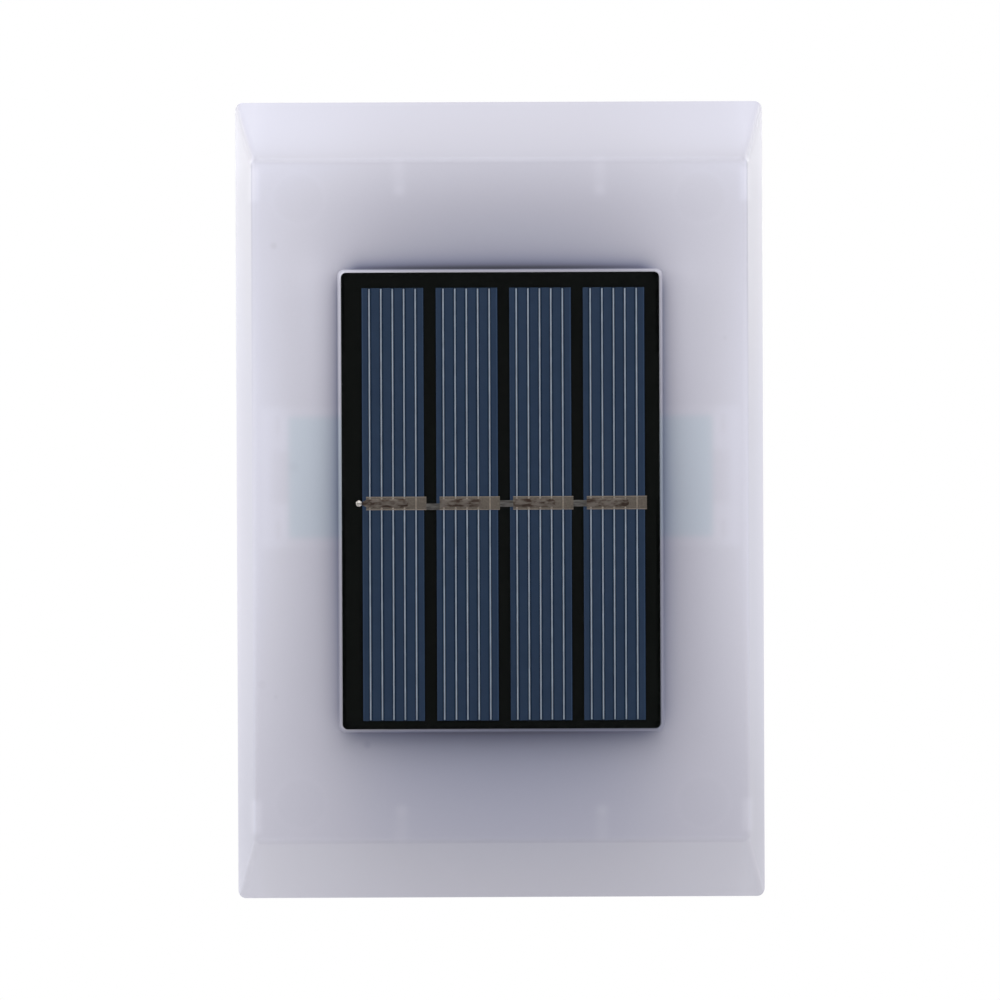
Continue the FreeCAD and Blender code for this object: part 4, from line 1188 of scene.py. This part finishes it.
@dataclass
class ControlBoard(SubAssembly):
    """Circuit board, its carrier and the parts soldered to it."""

    coil_turns: Span = (14.5, 17.7)

    def dress(self) -> None:
        """Dress the board, the carrier and each part."""
        # Glass-epoxy with green lacquer: pale tracks 0.45 mm wide, 1.3 mm apart.
        wear(SolderMask("green_solder_mask", "0F4A2C", "1C6A40", 0.35, 1.3, 0.03), "main_board")
        # ABS, injection moulded in a spark-eroded tool, its grain drawn at 0.5 mm to show.
        wear(Finish("white_abs_inner", "DCDCE0", "E8E8EA", 0.5, 0.5, 0.008),
             "board_carrier", "battery_holder", "switch_plunger")
        # Epoxy moulding compound: matt black with tiny pale filler.
        wear(Finish("black_moulding_epoxy", "141415", "222223", 0.65, 0.25, 0.006),
             "controller_chip", "switch_body", "resistors")
        # Tinned copper leads, stamped: dull and slightly streaked.
        wear(StreakedMetal("tinned_leads", "8C8C8A", "B2B2B0", 0.35, 0.2, 0.004, 1.0,
                           stretch=(1.0, 1.0, 5.0)), "chip_leads")
        # Ferrite drum, pressed and sintered, wound with 0.3 mm enamelled wire.
        wear(WoundDrum("wound_ferrite_drum", "17181A", "26272A", 0.45, 0.3, 0.06,
                       turns=self.coil_turns), "boost_coil")
        # Aluminium can, deep drawn: bright streaks along its height.
        wear(StreakedMetal("drawn_aluminium", "B9BABC", "D3D4D6", 0.28, 0.25, 0.003, 1.0,
                           stretch=(1.0, 8.0, 1.0)), "capacitor")
        # White lamp package, moulded from polyphthalamide: chalky and even.
        wear(Finish("white_lamp_package", "E4E3DE", "F2F1EC", 0.55, 0.3, 0.004), "leds")
        # Phosphor in silicone: grainy yellow.
        wear(Finish("phosphor_fill", "C9A316", "EFD34A", 0.4, 0.15, 0.006), "led_phosphor")


@dataclass
class ModeSwitch(SubAssembly):
    """The push button on the back and the seal in its groove."""

    steps: int = 72
    radius: float = 4.0
    flange_radius: float = 5.0
    flange: float = 0.8
    round_edge: float = 0.5
    dish: float = 0.25         # how far the thumb rest is sunk
    rest_radius: float = 2.9
    groove_floor: float = 3.01
    groove: Span = (1.68, 2.72)

    def build(self) -> None:
        """Turn the button with its dished thumb rest, seal groove and flange."""
        low, high = millimetres("mode_button")
        outer, inner = low[1], high[1]
        rest = [(self.rest_radius * math.sin(a), outer + self.dish * (1 + math.cos(2 * a)) / 2)
                for a in (math.pi / 2 * i / 8 for i in range(1, 9))]
        shoulder = [(self.radius - self.round_edge * (1 - math.sin(a)),
                     outer + self.round_edge * (1 - math.cos(a)))
                    for a in (math.pi / 2 * i / 6 for i in range(7))]
        stem = [(self.radius, self.groove[0]), (self.groove_floor, self.groove[0]),
                (self.groove_floor, self.groove[1]), (self.radius, self.groove[1])]
        foot = [(self.radius, inner - self.flange), (self.flange_radius, inner - self.flange),
                (self.flange_radius, inner), (1.6, inner)]
        profile = [(0.05, outer + self.dish), *rest, *shoulder, *stem, *foot]
        turned = Shape().lathe(profile, centre("mode_button"), self.steps)
        self.button = turned.piece("thumb_button", "mode_button", "button_rubber", "button")

    def dress(self) -> None:
        """Dress the button and its seal."""
        # Silicone rubber, compression moulded: soft grey, matt, with 0.4 mm grain.
        wear(Finish("grey_silicone_button", "6F7077", "7C7D85", 0.62, 0.4, 0.012), self.button)
        # Nitrile rubber ring: darker and a little oily.
        wear(Finish("nitrile_seal", "1B1B1C", "262627", 0.45, 0.3, 0.004), "button_seal")


@dataclass
class BatteryPack(SubAssembly):
    """Rechargeable cell and its two contacts."""

    bare_end: float = 0.9
    positive_tip: float = 1.0

    def dress(self) -> None:
        """Dress the cell and the contacts."""
        low, high = millimetres("battery_cell")
        # Shrunk vinyl over nickel-plated steel: glossy, plain pale green, no print.
        sleeve = (low[0] + self.bare_end, high[0] - self.positive_tip - self.bare_end)
        wear(ShrinkSleeve("shrunk_vinyl_sleeve", "6F9A84", "7BA690", 0.25, 4.0, 0.01,
                          sleeve=sleeve), "battery_cell")
        # Spring steel strip, nickel plated: warm grey with rolling streaks.
        wear(StreakedMetal("nickel_plated_strip", "9C9890", "BDB9B0", 0.25, 0.3, 0.003, 1.0,
                           stretch=(1.0, 6.0, 1.0)), "positive_contact", "negative_contact")


@dataclass
class Wiring(SubAssembly):
    """Insulated leads of the panel and the battery."""

    def dress(self) -> None:
        """Dress the leads by colour."""
        # Vinyl insulation, extruded: saturated, softly glossy, faintly ribbed.
        wear(StreakedMetal("red_vinyl_insulation", "9E1C18", "B4241E", 0.38, 0.5, 0.004),
             "panel_lead_red", "battery_lead_red")
        wear(StreakedMetal("black_vinyl_insulation", "161617", "202022", 0.38, 0.5, 0.004),
             "panel_lead_black", "battery_lead_black")


@dataclass(frozen=True)
class Softbox:
    """A square lamp, as bright as a white card that faces it in the object's middle."""

    name: str
    place: Place               # in metres
    size: float
    card: float

    def build(self) -> None:
        """Hang the lamp and point it at the object."""
        data = bpy.data.lights.new(self.name, "AREA")
        data.shape = "SQUARE"
        data.size = self.size
        away = Vector(self.place)
        data.energy = self.card * math.pi ** 2 * away.length_squared
        lamp = bpy.data.objects.new(self.name, data)
        lamp.location = away
        lamp.rotation_mode = "QUATERNION"
        lamp.rotation_quaternion = away.to_track_quat("Z", "Y")
        lamp.visible_camera = False
        bpy.context.scene.collection.objects.link(lamp)


@dataclass
class Studio(SubAssembly):
    """Camera, soft lamps, pale floor and white surroundings."""

    camera_place: Place = (-4.15, -917.0, 4.72)
    turn: float = -0.259       # degrees, about the upright
    nod: float = -0.300
    roll: float = 0.232
    lens: float = 176.57
    sensor: float = 36.0
    floor_level: float = -0.20
    floor_radius: float = 0.90
    floor_steps: int = 96
    floor_fade: Span = (0.45, 0.88)
    fill: float = 0.50         # light from all around
    lamps: tuple[Softbox, ...] = (
        Softbox("key", (0.0, -0.48, 0.44), 0.60, 0.45),
        Softbox("left_fill", (-0.55, -0.28, 0.22), 0.40, 0.22),
        Softbox("right_fill", (0.55, -0.28, 0.22), 0.40, 0.22),
        Softbox("top_fill", (0.0, 0.10, 0.80), 0.50, 0.20),
        Softbox("back_left", (-0.45, 0.55, 0.25), 0.40, 0.28),
        Softbox("back_right", (0.45, 0.55, 0.25), 0.40, 0.28),
    )

    def build(self) -> None:
        """Set up the camera, the lamps, the floor and the world."""
        for lamp in self.lamps:
            lamp.build()
        self.set_camera()
        self.lay_floor()
        scene = bpy.context.scene
        scene.view_settings.view_transform = "Standard"

    def set_camera(self) -> None:
        """Stand the camera where the photograph was taken from."""
        axes = (Matrix.Rotation(math.radians(self.turn), 3, "Z")
                @ Matrix.Rotation(math.radians(self.nod), 3, "X")
                @ Matrix.Rotation(math.radians(self.roll), 3, "Y"))
        facing = Matrix((axes.col[0], axes.col[2], -axes.col[1])).transposed()
        data = bpy.data.cameras.new("camera")
        data.sensor_width = self.sensor
        data.lens = self.lens
        camera = bpy.data.objects.new("camera", data)
        camera.matrix_world = Matrix.Translation(Vector(self.camera_place) * MM) @ facing.to_4x4()
        bpy.context.scene.collection.objects.link(camera)
        bpy.context.scene.camera = camera

    def lay_floor(self) -> None:
        """Lay a round floor below the object."""
        shape = bmesh.new()
        bmesh.ops.create_circle(shape, cap_ends=True, segments=self.floor_steps,
                                  radius=self.floor_radius)
        data = bpy.data.meshes.new("floor")
        shape.to_mesh(data)
        shape.free()
        self.floor = bpy.data.objects.new("floor", data)
        self.floor.location.z = self.floor_level
        bpy.context.scene.collection.objects.link(self.floor)

    def dress(self) -> None:
        """Paint the floor and the world."""
        self.paint_floor()
        self.paint_world()

    def paint_floor(self) -> None:
        """Matt white card that fades into the white surroundings at its edge."""
        material = bpy.data.materials.new("matt_card_floor")
        material.use_nodes = True
        tree = material.node_tree
        shader = tree.nodes["Principled BSDF"]
        shader.inputs["Base Color"].default_value = linear("EDEDED")
        shader.inputs["Roughness"].default_value = 0.9
        shader.inputs["Specular IOR Level"].default_value = 0.0
        where = add_node(tree, "ShaderNodeTexCoord")
        away = add_node(tree, "ShaderNodeVectorMath", {"operation": "LENGTH"},
                        {0: where.outputs["Object"]})
        fading = add_node(tree, "ShaderNodeMapRange", {"interpolation_type": "SMOOTHSTEP"},
                          {"Value": away.outputs["Value"], "From Min": self.floor_fade[0],
                           "From Max": self.floor_fade[1], "To Min": 1.0, "To Max": 0.0})
        tree.links.new(fading.outputs["Result"], shader.inputs["Alpha"])
        self.floor.data.materials.append(material)

    def paint_world(self) -> None:
        """White where the camera sees it, and a soft fill elsewhere."""
        world = bpy.data.worlds.new("white_surroundings")
        world.use_nodes = True
        tree = world.node_tree
        tree.nodes.clear()
        path = add_node(tree, "ShaderNodeLightPath")
        through = Field(path.outputs["Is Transmission Ray"])
        seen = Field(path.outputs["Is Camera Ray"]).least(through)
        strength = seen * (1.0 - self.fill) + self.fill
        surroundings = add_node(tree, "ShaderNodeBackground", None,
                                {"Color": (1.0, 1.0, 1.0, 1.0), "Strength": strength})
        add_node(tree, "ShaderNodeOutputWorld", None,
                 {"Surface": surroundings.outputs["Background"]})
        bpy.context.scene.world = world


def main() -> None:
    """Build and dress the light, one sub-assembly after another."""
    logging.basicConfig(level=logging.INFO, format="%(name)s: %(message)s")
    for assembly in (Studio(), Housing(), RearFixings(), SolarPanel(), ControlBoard(), ModeSwitch(),
                     BatteryPack(), Wiring()):
        assembly.build()
        assembly.dress()
        LOG.info("%s is done", type(assembly).__name__)


if __name__ == "__main__":
    main()
